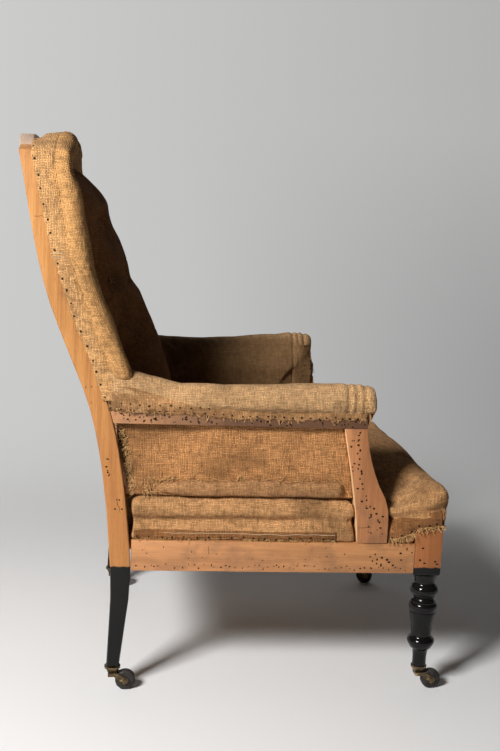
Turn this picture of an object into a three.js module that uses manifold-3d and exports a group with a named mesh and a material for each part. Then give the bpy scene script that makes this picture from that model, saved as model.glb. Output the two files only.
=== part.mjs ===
// Old open-frame armchair stripped to its hessian, on four swivel casters.
// Millimetres, +Z up, +X toward the front of the seat, +Y toward the sitter's left.
// Built from the seat back line (X = 0 at the front of the rear posts), then centred on its footprint.
import * as THREE from 'three';
import { mergeVertices } from 'three/addons/utils/BufferGeometryUtils.js';
import Module from 'manifold-3d';

const wasm = await Module();
wasm.setup();

// Seat frame
const seatFrameDepth = 520;
const rearHalfWidth = 285;
const frontHalfWidth = 304.5;
const railBottom = 236;
const railHeight = 56.5;
const railThickness = 28;
const legBlockSide = 51;
const legBlockRise = 37;
const braceReach = 75;
const braceWidth = 30;
const braceHeight = 32;

// Rear posts and back frame
const postTop = 973;
const postWidth = 42;
const postDepth = 36.5;
const postTopDepth = 30;
const postFootDepth = 23;
const postFootWidth = 22;
const rakeFoot = 3.5;
const rakeArm = 34.5;
const rakeMid = 120;
const rakeTop = 167;
const crestRise = 36;
const topRailHeight = 58;
const topRailDepth = 27;
const topRailBow = 8;
const backRailHeight = 38;
const backRailDepth = 24;
const backRailRise = 120;

// Arms
const armRailBottom = 507;
const armRailHeight = 30;
const armRailWidth = 44;
const armLength = 418;
const supportTopDepth = 41;
const supportFootDepth = 56;
const supportSweep = 34;
const supportWidth = 44;
const tackRailHeight = 28;
const tackRailThickness = 20;
const tackRailInset = 19;
const tackRailRise = 81;
const panelThickness = 2;

// Turned front legs
const legMaxRadius = 27.5;
const legSides = 18;
const legForward = 4.8;

// Casters
const casterHeight = 46;
const casterTrail = 24;
const wheelRadius = 18.5;
const wheelWidth = 16;
const wheelSides = 24;
const socketRadius = 15;
const forkWall = 3;
const axleRadius = 2.5;
const pinRadius = 3;
const runGap = 0.8;

// Upholstery
const seatCrown = 430;
const seatSideHeight = 370;
const seatFrontHeight = 403;
const seatOverhang = 14;
const wellHeight = 52;
const rollDepth = 64;
const rollWidth = 50;
const rollSwell = 8;
const backThickness = 136;
const backTopThickness = 66;
const tuftDepth = 30;
const armPadRise = 60;
const armPadSag = 9;
const armPadOverhang = 12;
const armPadLining = 28;
const armPadFrontLip = 8;
const armPadEndRound = 28;

// Springs and webbing
const webWidth = 50;
const webThickness = 2;
const springRadius = 38;
const springWaist = 25;
const springTurns = 4;
const springWire = 4;

// Space left between pieces that touch
const fitGap = 0.3;

// Derived levels and stations
const railTop = railBottom + railHeight;
const blockRear = seatFrameDepth;
const blockFront = seatFrameDepth + legBlockSide;
const blockTop = railTop + legBlockRise;
const armRailTop = armRailBottom + armRailHeight;
const postInner = rearHalfWidth - postWidth;
const postMidHeight = (armRailBottom + postTop) / 2;
const splay = (frontHalfWidth - rearHalfWidth) / seatFrameDepth;
const webGap = 3 * fitGap;
const softGap = webGap + webThickness + 2 * fitGap;
const armPadTop = armRailTop + armPadRise;
const armPadInner = armRailWidth + armPadLining;
const armPadFront = armLength + armPadFrontLip;
const rollFoot = armPadTop + 6.5;
const rearLegX = -postDepth - rakeFoot + postFootDepth / 2;
const rearLegY = rearHalfWidth - postWidth / 2;
const frontLegX = blockRear + legBlockSide / 2 + legForward;
const frontLegY = frontHalfWidth - legBlockSide / 2;

const finish = (color, roughness, metalness) => ({ color, roughness, metalness });
const beech = finish(0xc08a58, 0.6, 0);
const ebonised = finish(0x1d1b1a, 0.3, 0);
const hessian = finish(0xb28a5c, 0.95, 0);
const webbing = finish(0x9c7f5a, 0.95, 0);
const springSteel = finish(0x6a625a, 0.45, 0.9);
const brass = finish(0x8a6a3a, 0.4, 0.9);
const wheelBlack = finish(0x201d1b, 0.4, 0);

const chair = new THREE.Group();
chair.name = 'armchair';

function addMesh(parent, name, geometry, look) {
  const mesh = new THREE.Mesh(geometry, new THREE.MeshStandardMaterial({ ...look }));
  mesh.name = name;
  parent.add(mesh);
  return mesh;
}

// A smooth value through [position, value] pairs, straight on beyond both ends.
function smoothPath(pairs) {
  const slope = pairs.map((p, i) => {
    const a = pairs[Math.max(i - 1, 0)];
    const b = pairs[Math.min(i + 1, pairs.length - 1)];
    return (b[1] - a[1]) / (b[0] - a[0]);
  });
  return (s) => {
    const last = pairs.length - 1;
    if (s <= pairs[0][0]) return pairs[0][1] + slope[0] * (s - pairs[0][0]);
    if (s >= pairs[last][0]) return pairs[last][1] + slope[last] * (s - pairs[last][0]);
    let i = 0;
    while (s > pairs[i + 1][0]) i += 1;
    const h = pairs[i + 1][0] - pairs[i][0];
    const t = (s - pairs[i][0]) / h;
    const rise = t * t * (3 - 2 * t);
    const lead = t * (1 - t) * (1 - t) * h;
    const tail = t * t * (t - 1) * h;
    return pairs[i][1] + (pairs[i + 1][1] - pairs[i][1]) * rise + slope[i] * lead + slope[i + 1] * tail;
  };
}

function blend(a, b, t) {
  return a + (b - a) * t;
}

function clamp01(t) {
  return Math.min(Math.max(t, 0), 1);
}

// Closed geometry from corner points and triangles, turned so that its faces point out.
function closedGeometry(points, triangles) {
  let volume = 0;
  for (const [a, b, c] of triangles) {
    volume += points[a].dot(new THREE.Vector3().crossVectors(points[b], points[c]));
  }
  const index = volume < 0 ? triangles.map(([a, b, c]) => [a, c, b]) : triangles;
  const geometry = new THREE.BufferGeometry();
  geometry.setAttribute('position', new THREE.Float32BufferAttribute(points.flatMap((p) => p.toArray()), 3));
  geometry.setIndex(index.flat());
  geometry.computeVertexNormals();
  return geometry;
}

// Skin over a row of rings of equal count; capOutline gives the flat drawing that the end caps follow.
function loft(rings, capOutline) {
  const count = rings[0].length;
  const triangles = [];
  for (let r = 0; r + 1 < rings.length; r += 1) {
    for (let i = 0; i < count; i += 1) {
      const a = r * count + i;
      const b = r * count + ((i + 1) % count);
      triangles.push([a, b, b + count], [a, b + count, a + count]);
    }
  }
  const cap = THREE.ShapeUtils.triangulateShape(capOutline, []);
  const turn = THREE.ShapeUtils.isClockWise(capOutline) ? -1 : 1;
  const end = (rings.length - 1) * count;
  for (const [a, b, c] of cap) {
    triangles.push(turn > 0 ? [a, c, b] : [a, b, c]);
    triangles.push(turn > 0 ? [a + end, b + end, c + end] : [a + end, c + end, b + end]);
  }
  return closedGeometry(rings.flat(), orient(triangles));
}

// Gives every triangle the same sense as its neighbours, starting from the first.
function orient(triangles) {
  const edges = new Map();
  triangles.forEach((t, k) => {
    for (let i = 0; i < 3; i += 1) {
      const a = t[i];
      const b = t[(i + 1) % 3];
      const key = a < b ? `${a}_${b}` : `${b}_${a}`;
      if (!edges.has(key)) edges.set(key, []);
      edges.get(key).push(k);
    }
  });
  const done = new Set([0]);
  const queue = [0];
  const holds = (t, a, b) => t.some((v, i) => v === a && t[(i + 1) % 3] === b);
  while (queue.length > 0) {
    const k = queue.pop();
    const t = triangles[k];
    for (let i = 0; i < 3; i += 1) {
      const a = t[i];
      const b = t[(i + 1) % 3];
      const key = a < b ? `${a}_${b}` : `${b}_${a}`;
      for (const n of edges.get(key)) {
        if (done.has(n)) continue;
        if (holds(triangles[n], a, b)) triangles[n].reverse();
        done.add(n);
        queue.push(n);
      }
    }
  }
  return triangles;
}

const ringOutline = (points) => points.map(([a, b]) => new THREE.Vector2(a, b));

// Upright prism over a plan outline of [x, y] corners.
function planPrism(corners, bottom, top) {
  const shape = new THREE.Shape(ringOutline(corners));
  const geometry = new THREE.ExtrudeGeometry(shape, { depth: top - bottom, bevelEnabled: false });
  return geometry.translate(0, 0, bottom);
}

// Prism over a side outline drawn in X and Z, from one Y to the other.
function sidePrism(shape, fromY, toY, curveSegments = 8) {
  const geometry = new THREE.ExtrudeGeometry(shape, { depth: toY - fromY, bevelEnabled: false, curveSegments });
  return geometry.rotateX(Math.PI / 2).translate(0, toY, 0);
}

function box(x0, x1, y0, y1, z0, z1) {
  const geometry = new THREE.BoxGeometry(x1 - x0, y1 - y0, z1 - z0);
  return geometry.translate((x0 + x1) / 2, (y0 + y1) / 2, (z0 + z1) / 2);
}

// Turned piece about Z through [radius, height] points.
function turned(points, sides) {
  return new THREE.LatheGeometry(ringOutline(points), sides).rotateX(Math.PI / 2);
}

function toManifold(geometry) {
  const bare = new THREE.BufferGeometry();
  bare.setAttribute('position', geometry.getAttribute('position').clone());
  if (geometry.index) bare.setIndex(geometry.index.clone());
  const merged = mergeVertices(bare, 1e-4);
  const corners = merged.index.array;
  const triVerts = [];
  for (let i = 0; i < corners.length; i += 3) {
    const [a, b, c] = [corners[i], corners[i + 1], corners[i + 2]];
    if (a !== b && b !== c && c !== a) triVerts.push(a, b, c);
  }
  const vertProperties = new Float32Array(merged.getAttribute('position').array);
  return new wasm.Manifold(new wasm.Mesh({ numProp: 3, vertProperties, triVerts: new Uint32Array(triVerts) }));
}

function fromManifold(solid) {
  const mesh = solid.getMesh();
  const geometry = new THREE.BufferGeometry();
  geometry.setAttribute('position', new THREE.Float32BufferAttribute(Array.from(mesh.vertProperties), 3));
  geometry.setIndex(Array.from(mesh.triVerts));
  geometry.computeVertexNormals();
  return geometry;
}

function join(...geometries) {
  return fromManifold(geometries.map(toManifold).reduce((a, b) => a.add(b)));
}

function cut(geometry, ...tools) {
  return fromManifold(tools.map(toManifold).reduce((a, b) => a.subtract(b), toManifold(geometry)));
}

// The same piece on the other side of the chair.
function mirrored(geometry) {
  const copy = geometry.clone();
  const position = copy.getAttribute('position');
  for (let i = 0; i < position.count; i += 1) position.setY(i, -position.getY(i));
  if (copy.index) {
    copy.setIndex(Array.from(copy.index.array).reverse());
  } else {
    const flat = Array.from(position.array);
    const turnedRound = [];
    for (let i = 0; i < flat.length; i += 9) {
      turnedRound.push(...flat.slice(i, i + 3), ...flat.slice(i + 6, i + 9), ...flat.slice(i + 3, i + 6));
    }
    copy.setAttribute('position', new THREE.Float32BufferAttribute(turnedRound, 3));
  }
  copy.computeVertexNormals();
  return copy;
}

function addPair(name, geometry, look) {
  addMesh(chair, `${name}_right`, geometry, look);
  addMesh(chair, `${name}_left`, mirrored(geometry), look);
}

// Half width of the frame over its outer faces, which spread toward the front.
const outer = (x) => rearHalfWidth + splay * x;

// Rear edge, front edge and depth of a rear post at a height.
const rake = smoothPath([
  [casterHeight, rakeFoot],
  [railBottom, 0],
  [armRailBottom, rakeArm],
  [postMidHeight, rakeMid],
  [postTop, rakeTop],
]);
const postDepthAt = smoothPath([
  [casterHeight, postFootDepth],
  [railBottom, postDepth],
  [railTop, postDepth],
  [postTop, postTopDepth],
]);
const postRearAt = (z) => -postDepth - rake(z);
const postFrontAt = (z) => postRearAt(z) + postDepthAt(z);
const archAt = (y) => postTop + crestRise * (1 - (y / rearHalfWidth) ** 2);

// Rear post running down into the rear leg, with eased edges and a top that follows the arch.
function rearPost() {
  const levels = [0, 0.35, 0.7].map((t) => blend(casterHeight, railBottom, t));
  for (let i = 0; i <= 20; i += 1) levels.push(blend(railBottom, postTop, i / 20));
  const rings = levels.map((z) => {
    const lower = clamp01((z - casterHeight) / (railBottom - casterHeight));
    const width = blend(postFootWidth, postWidth, lower);
    const ease = blend(3, 1.5, lower);
    const near = -rearLegY - width / 2;
    const far = -rearLegY + width / 2;
    const corner = (x, y) => {
      const level = z === postTop ? archAt(y) : z;
      return new THREE.Vector3(x, y, level);
    };
    const back = postRearAt(z);
    const front = postFrontAt(z);
    return [
      corner(back + ease, near), corner(front - ease, near), corner(front, near + ease), corner(front, far - ease),
      corner(front - ease, far), corner(back + ease, far), corner(back, far - ease), corner(back, near + ease),
    ];
  });
  const outline = rings[0].map((p) => new THREE.Vector2(p.x, p.y));
  return loft(rings, outline);
}
addPair('rear_post', rearPost(), beech);

// Arched top rail between the posts, bowed a little to the rear.
function topRail() {
  const reach = postInner - fitGap;
  const rings = [];
  for (let i = 0; i <= 12; i += 1) {
    const y = blend(-reach, reach, i / 12);
    const bow = topRailBow * (1 - (y / reach) ** 2);
    const top = archAt(y);
    const bottom = postTop - topRailHeight + crestRise * 0.5 * (1 - (y / reach) ** 2);
    const corner = (offset, z) => new THREE.Vector3(postRearAt(z) + offset - bow, y, z);
    rings.push([
      corner(1.5, bottom), corner(topRailDepth, bottom), corner(topRailDepth, top - 1.5),
      corner(topRailDepth - 1.5, top), corner(2.5, top), corner(1, top - 1.5),
    ]);
  }
  return loft(rings, rings[0].map((p) => new THREE.Vector2(p.x, p.z)));
}
addMesh(chair, 'top_rail', topRail(), beech);

// Cross rail whose faces follow the lean of the posts.
function crossRail(bottom, height, depth, inset) {
  const reach = postInner - fitGap;
  const rings = [-reach, reach].map((y) => {
    const corner = (offset, z) => new THREE.Vector3(postFrontAt(z) - inset + offset, y, z);
    const top = bottom + height;
    return [corner(-depth, bottom), corner(0, bottom), corner(0, top), corner(-depth, top)];
  });
  return loft(rings, rings[0].map((p) => new THREE.Vector2(p.x, p.z)));
}
addMesh(chair, 'lower_back_rail', crossRail(railTop + backRailRise, backRailHeight, backRailDepth, 3), beech);
addMesh(chair, 'rear_seat_rail', crossRail(railBottom, railHeight, railThickness, 4), beech);

// Bar along one side, between two stations, set in from the outer face.
function sideBar(x0, x1, inset, width, bottom, top) {
  return planPrism([
    [x0, -outer(x0) + inset],
    [x1, -outer(x1) + inset],
    [x1, -outer(x1) + inset + width],
    [x0, -outer(x0) + inset + width],
  ], bottom, top);
}
addPair('side_seat_rail', sideBar(fitGap, blockRear - fitGap, 0, railThickness, railBottom, railTop), beech);

const frontRailRear = blockFront - railThickness;
const blockInner = frontHalfWidth - legBlockSide;
const frontRailReach = blockInner - fitGap;
addMesh(
  chair,
  'front_seat_rail',
  box(frontRailRear, blockFront, -frontRailReach, frontRailReach, railBottom, railTop),
  beech,
);

// Corner braces across the inside of the seat frame.
function cornerBrace(corner, towardX, crossX) {
  const bottom = railBottom + (railHeight - braceHeight) / 2;
  const side = (x) => -outer(x) + railThickness + fitGap;
  const far = corner[0] + towardX * braceReach;
  const near = corner[0] + towardX * (braceReach - braceWidth);
  const cross = crossX + towardX * fitGap;
  return planPrism([
    [far, side(far)],
    [near, side(near)],
    [cross, corner[1] + braceReach - braceWidth],
    [cross, corner[1] + braceReach],
  ], bottom, bottom + braceHeight);
}
const rearRailFace = postFrontAt(railBottom) - 4;
addPair('brace_front', cornerBrace([blockRear, -blockInner], -1, frontRailRear), beech);
addPair('brace_rear', cornerBrace([0, -postInner], 1, rearRailFace), beech);

// Front leg: square block over a turned leg, one piece.
function frontLeg() {
  const foot = casterHeight;
  const shoulder = railBottom - 7;
  const profile = [
    [0.495, 0], [0.5, 0.1], [0.6, 0.19], [0.84, 0.215], [0.96, 0.275], [0.84, 0.33], [0.69, 0.35], [0.745, 0.46],
    [0.89, 0.57], [0.95, 0.6], [1, 0.66], [0.91, 0.715], [0.69, 0.735], [0.69, 0.755], [0.91, 0.78], [0.98, 0.83],
    [0.91, 0.885], [0.7, 0.91], [0.73, 0.94], [0.88, 0.99], [0.9, 1.03],
  ];
  const points = profile.map(([r, t]) => [r * legMaxRadius, blend(foot, shoulder, t)]);
  const leg = turned([[0, points[0][1]], ...points, [0, points[points.length - 1][1]]], legSides);
  leg.translate(frontLegX, -frontLegY, 0);
  const block = box(blockRear, blockFront, -frontHalfWidth, -blockInner, shoulder, blockTop);
  return join(leg, block);
}
addPair('front_leg', frontLeg(), beech);

// Arm support: rear and front edges sweep forward toward the foot.
const supportRearTop = armLength - supportTopDepth;
const supportRearAt = (z) => {
  const t = clamp01((armRailBottom - z) / (armRailBottom - railTop));
  return supportRearTop + supportSweep * (1 - (1 - t) ** 1.4);
};
const supportFrontAt = smoothPath([
  [railTop, supportRearTop + supportSweep + supportFootDepth],
  [railTop + 0.33 * (armRailBottom - railTop), supportRearTop + supportSweep + supportFootDepth - 3],
  [railTop + 0.55 * (armRailBottom - railTop), supportRearTop + supportTopDepth + 24],
  [railTop + 0.78 * (armRailBottom - railTop), supportRearTop + supportTopDepth + 8],
  [armRailBottom, supportRearTop + supportTopDepth],
]);

function sideTurn(geometry) {
  return geometry.rotateZ(-Math.atan(splay)).translate(0, -rearHalfWidth, 0);
}

// Side outline of the support between two heights, grown all round by a clearance.
function supportOutline(bottom, top, clear) {
  const levels = Array.from({ length: 11 }, (_, i) => blend(bottom, top, i / 10));
  const front = levels.map((z) => [supportFrontAt(z) + clear, z]);
  const rear = levels.map((z) => [supportRearAt(z) - clear, z]).reverse();
  return new THREE.Shape(ringOutline([...front, ...rear]));
}

function armSupport() {
  const outline = supportOutline(railTop + fitGap, armRailBottom - fitGap, 0);
  return sideTurn(sidePrism(outline, 0, supportWidth));
}
addPair('arm_support', armSupport(), beech);

// Arm rail: its rear end is cut to the lean of the post.
function armRail() {
  const rear = (z, inset) => {
    const x = postFrontAt(z) + fitGap;
    return new THREE.Vector3(x, -outer(x) + inset, z);
  };
  const front = (z, inset) => new THREE.Vector3(armLength, -outer(armLength) + inset, z);
  const rings = [rear, front].map((end) => [
    end(armRailBottom, 0), end(armRailBottom, armRailWidth), end(armRailTop, armRailWidth), end(armRailTop, 0),
  ]);
  return loft(rings, ringOutline([[0, 0], [1, 0], [1, 1], [0, 1]]));
}
addPair('arm_rail', armRail(), beech);

// Rail that the outside arm panel is tacked to.
const tackRailBottom = railTop + tackRailRise;
const tackRailTop = tackRailBottom + tackRailHeight;
addPair('arm_tack_rail', sideBar(
  postFrontAt(tackRailBottom) + fitGap,
  supportRearAt(tackRailTop) - fitGap,
  tackRailInset,
  tackRailThickness,
  tackRailBottom,
  tackRailTop,
), beech);

// Outside arm panel of hessian between post, arm rail, support and tacking rail.
function armPanel() {
  const inset = tackRailInset - panelThickness - fitGap;
  const top = armRailBottom - fitGap;
  const corners = [];
  for (let i = 0; i <= 6; i += 1) {
    const z = blend(tackRailBottom, top, i / 6);
    corners.push([supportRearAt(z) - fitGap, z]);
  }
  for (let i = 6; i >= 0; i -= 1) {
    const z = blend(tackRailBottom, top, i / 6);
    corners.push([postFrontAt(z) + fitGap, z]);
  }
  return sideTurn(sidePrism(new THREE.Shape(ringOutline(corners)), inset, inset + panelThickness));
}
addPair('arm_panel', armPanel(), hessian);

// Casters: socket plate on the leg, horn that swivels on its pin, axle and wheel.
const wheelDrop = wheelRadius * Math.cos(Math.PI / wheelSides);
const hornTop = casterHeight - 12.4;
const hornBottom = hornTop - 6.2;
const armIn = wheelWidth / 2 + runGap;
const armOut = armIn + forkWall;

function socketGeometry() {
  return turned([
    [0, hornBottom - 2.4], [pinRadius + 2.2, hornBottom - 2.4], [pinRadius + 2.2, hornBottom - 0.4],
    [pinRadius, hornBottom - 0.4], [pinRadius, hornTop + 0.4], [socketRadius * 0.63, hornTop + 0.4],
    [socketRadius * 0.83, casterHeight - 5.5], [socketRadius, casterHeight - 4],
    [socketRadius, casterHeight - fitGap], [0, casterHeight - fitGap],
  ], 14);
}

function hornGeometry() {
  const side = new THREE.Shape();
  side.moveTo(-8, hornBottom);
  side.lineTo(-8, hornTop);
  side.lineTo(8, hornTop);
  side.lineTo(casterTrail + 4.2, wheelDrop + 5);
  side.absarc(casterTrail, wheelDrop, 6.4, 0.86, -2.36, true);
  side.lineTo(3, hornBottom);
  side.closePath();
  const near = sidePrism(side, -armOut, -armIn, 5);
  const far = sidePrism(side, armIn, armOut, 5);
  const bridge = box(-8, 6, -armOut, armOut, hornBottom, hornTop);
  const pinHole = new THREE.CylinderGeometry(pinRadius + 0.4, pinRadius + 0.4, 30, 14).rotateX(Math.PI / 2);
  const axleHole = new THREE.CylinderGeometry(axleRadius + 0.3, axleRadius + 0.3, 60, 12);
  pinHole.translate(0, 0, hornTop);
  axleHole.translate(casterTrail, 0, wheelDrop);
  return cut(join(near, far, bridge), pinHole, axleHole);
}

function axleGeometry() {
  const end = armOut + fitGap;
  const profile = [
    [0, -end - 2], [axleRadius + 1.2, -end - 1.4], [axleRadius + 1.6, -end], [axleRadius, -end],
    [axleRadius, end], [axleRadius + 1.6, end], [axleRadius + 1.2, end + 1.4], [0, end + 2],
  ];
  return new THREE.LatheGeometry(ringOutline(profile), 12);
}

function wheelGeometry() {
  const half = wheelWidth / 2;
  const bore = axleRadius + 0.35;
  const profile = [
    [bore, -half], [wheelRadius * 0.76, -half], [wheelRadius * 0.95, -half * 0.87], [wheelRadius, -half * 0.56],
    [wheelRadius, half * 0.56], [wheelRadius * 0.95, half * 0.87], [wheelRadius * 0.76, half], [bore, half],
    [bore, -half],
  ];
  return new THREE.LatheGeometry(ringOutline(profile), wheelSides).rotateY(Math.PI / wheelSides);
}

const legFeet = [
  ['front_right', frontLegX, -frontLegY],
  ['front_left', frontLegX, frontLegY],
  ['rear_right', rearLegX, -rearLegY],
  ['rear_left', rearLegX, rearLegY],
];
for (const [place, x, y] of legFeet) {
  const caster = new THREE.Group();
  caster.position.set(x, y, 0);
  chair.add(caster);
  addMesh(caster, `caster_socket_${place}`, socketGeometry(), brass);
  addMesh(caster, `caster_horn_${place}`, hornGeometry(), brass);
  const hub = new THREE.Group();
  hub.position.set(casterTrail, 0, wheelDrop);
  caster.add(hub);
  addMesh(hub, `caster_axle_${place}`, axleGeometry(), brass);
  addMesh(hub, `caster_wheel_${place}`, wheelGeometry(), wheelBlack);
}

// Seat pad: crowned top, rolls at the sides and the front, open below for the springs.
const seatFront = blockFront + seatOverhang;
const seatRear = postRearAt(railTop) + 9;
const seatCrownAt = smoothPath([
  [seatRear, seatCrown - 32],
  [0.12 * seatFrameDepth, seatCrown - 16],
  [0.4 * seatFrameDepth, seatCrown],
  [0.75 * seatFrameDepth, seatCrown],
  [blockRear, seatCrown - 12],
  [blockFront, seatFrontHeight],
]);
const seatSideAt = smoothPath([
  [seatRear, seatSideHeight],
  [supportFrontAt(railTop + 75) - 60, seatSideHeight],
  [supportFrontAt(railTop + 75) + 2, seatSideHeight - 8],
  [blockRear - 12, seatSideHeight + 2],
  [blockRear + 24, seatSideHeight + 19],
  [blockFront, seatFrontHeight - 3],
]);
const seatCreaseAt = smoothPath([
  [seatRear, railTop + 38],
  [supportRearTop, railTop + 38],
  [blockRear - 14, blend(railTop, seatSideHeight, 0.66)],
  [blockFront, blend(blockTop, seatFrontHeight, 0.45)],
]);
function seatTop(x, y) {
  const across = clamp01(Math.abs(y) / (outer(x) - armPadInner - 4));
  return blend(seatCrownAt(x), seatSideAt(x), across ** 2.2);
}

function seatPad() {
  const steps = [0.93, 0.85, 0.74, 0.58, 0.38, 0.16];
  const section = (x, ring) => {
    const width = outer(x) - ring.inset;
    const side = seatSideAt(x) - ring.drop;
    const crease = Math.max(seatCreaseAt(x), blend(ring.base, side, 0.16));
    const half = [
      [width - 4, ring.base], [width + 0.5, blend(ring.base, crease, 0.35)], [width - 2.5, crease],
      [width + 3, blend(crease, side, 0.35)], [width + 2, blend(crease, side, 0.7)], [width - 6, side - 1],
      ...steps.map((s) => [width * s, seatTop(x, width * s) - ring.drop]),
    ];
    const far = half.map(([y, z]) => new THREE.Vector3(x, y, z));
    const near = half.map(([y, z]) => new THREE.Vector3(x, -y, z)).reverse();
    return [...far, ...near];
  };
  const base = railTop + fitGap;
  const plain = [0, 0.1, 0.25, 0.45, 0.65, 0.78, 0.86, 0.92, 0.97].map((t) => ({
    x: blend(seatRear, blockFront, t), inset: 0, base, drop: 0,
  }));
  const noseLow = seatCreaseAt(blockFront);
  const noseRise = seatFrontHeight - noseLow;
  const nose = [
    { x: blockFront - 4, inset: 1, base, drop: 0 },
    { x: blockFront + 2, inset: 3, base, drop: 1 },
    { x: blockFront + 2.6, inset: 3, base: noseLow + 0.03 * noseRise, drop: 1 },
    { x: blockFront + 0.6 * seatOverhang, inset: 8, base: noseLow + 0.08 * noseRise, drop: 0.12 * noseRise },
    { x: seatFront, inset: 20, base: noseLow + 0.22 * noseRise, drop: 0.34 * noseRise },
  ];
  const rings = [...plain, ...nose].map((ring) => section(ring.x, ring));
  const skin = loft(rings, rings[0].map((p) => new THREE.Vector2(p.y, p.z)));
  const clear = 1.5;
  const wide = frontHalfWidth + 80;
  const tools = [];
  for (const side of [-1, 1]) {
    const span = (inner) => [Math.min(side * inner, side * wide), Math.max(side * inner, side * wide)];
    const [b0, b1] = span(blockInner - clear);
    tools.push(box(blockRear - clear, blockFront + 30, b0, b1, railBottom, blockTop + fitGap));
    const [p0, p1] = span(postInner - clear);
    tools.push(box(-200, clear, p0, p1, railBottom, seatCrown + 60));
    const notch = sideTurn(sidePrism(supportOutline(railTop - 20, seatCrown + 60, clear), -80, supportWidth + clear));
    tools.push(side < 0 ? notch : mirrored(notch));
  }
  const wellSide = rearHalfWidth - railThickness - 30;
  tools.push(box(10, frontRailRear - 12, -wellSide, wellSide, railBottom, railTop + wellHeight));
  return cut(skin, ...tools);
}
addMesh(chair, 'seat_pad', seatPad(), hessian);

// Underside of the edge roll where it crosses the top of the back.
const rollReach = rearHalfWidth - rollWidth - 30;
function rollInnerTop(y) {
  const past = clamp01((Math.abs(y) - rollReach) / 30);
  return blend(archAt(Math.min(Math.abs(y), rollReach)), postTop, past) - rollWidth;
}

// Stitched edge roll round the sides and top of the back.
function edgeRoll() {
  const section = [
    [0, 0.5], [0.22, 0.5], [0.45, 0.5 * rollSwell], [0.67, rollSwell], [0.85, 0.7 * rollSwell], [0.96, -0.4 * rollSwell],
    [1, -0.36 * rollWidth], [0.95, -0.56 * rollWidth], [0.84, -0.76 * rollWidth], [0.7, -0.92 * rollWidth],
    [0.5, -rollWidth], [0, -rollWidth],
  ];
  const rings = [];
  const place = (v, y, z) => new THREE.Vector3(postFrontAt(z) + softGap + v * rollDepth, y, z);
  const sideRing = (z, side, shrink) => section.map(([v, u]) => {
    const out = blend(u, -0.45 * rollWidth, shrink);
    return place(blend(v, 0.5, shrink), side * (rearHalfWidth + out), z);
  });
  const cornerRing = (side) => section.map(([v, u]) => place(v, side * (rearHalfWidth + u), postTop + u));
  const topRing = (y) => section.map(([v, u]) => place(v, y, archAt(y) + u));
  const last = postTop - rollWidth - 30;
  const levels = [0, 0.04, 0.2, 0.4, 0.6, 0.8, 1].map((t) => blend(rollFoot, last, t));
  levels.forEach((z, i) => rings.push(sideRing(z, -1, i === 0 ? 0.12 : 0)));
  rings.push(cornerRing(-1));
  for (let i = 0; i <= 8; i += 1) rings.push(topRing(blend(-rollReach, rollReach, i / 8)));
  rings.push(cornerRing(1));
  [...levels].reverse().forEach((z, i) => rings.push(sideRing(z, 1, i === levels.length - 1 ? 0.12 : 0)));
  return loft(rings, ringOutline(section.map(([v, u]) => [v * rollDepth, u])));
}
addMesh(chair, 'back_edge_roll', edgeRoll(), hessian);

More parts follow.
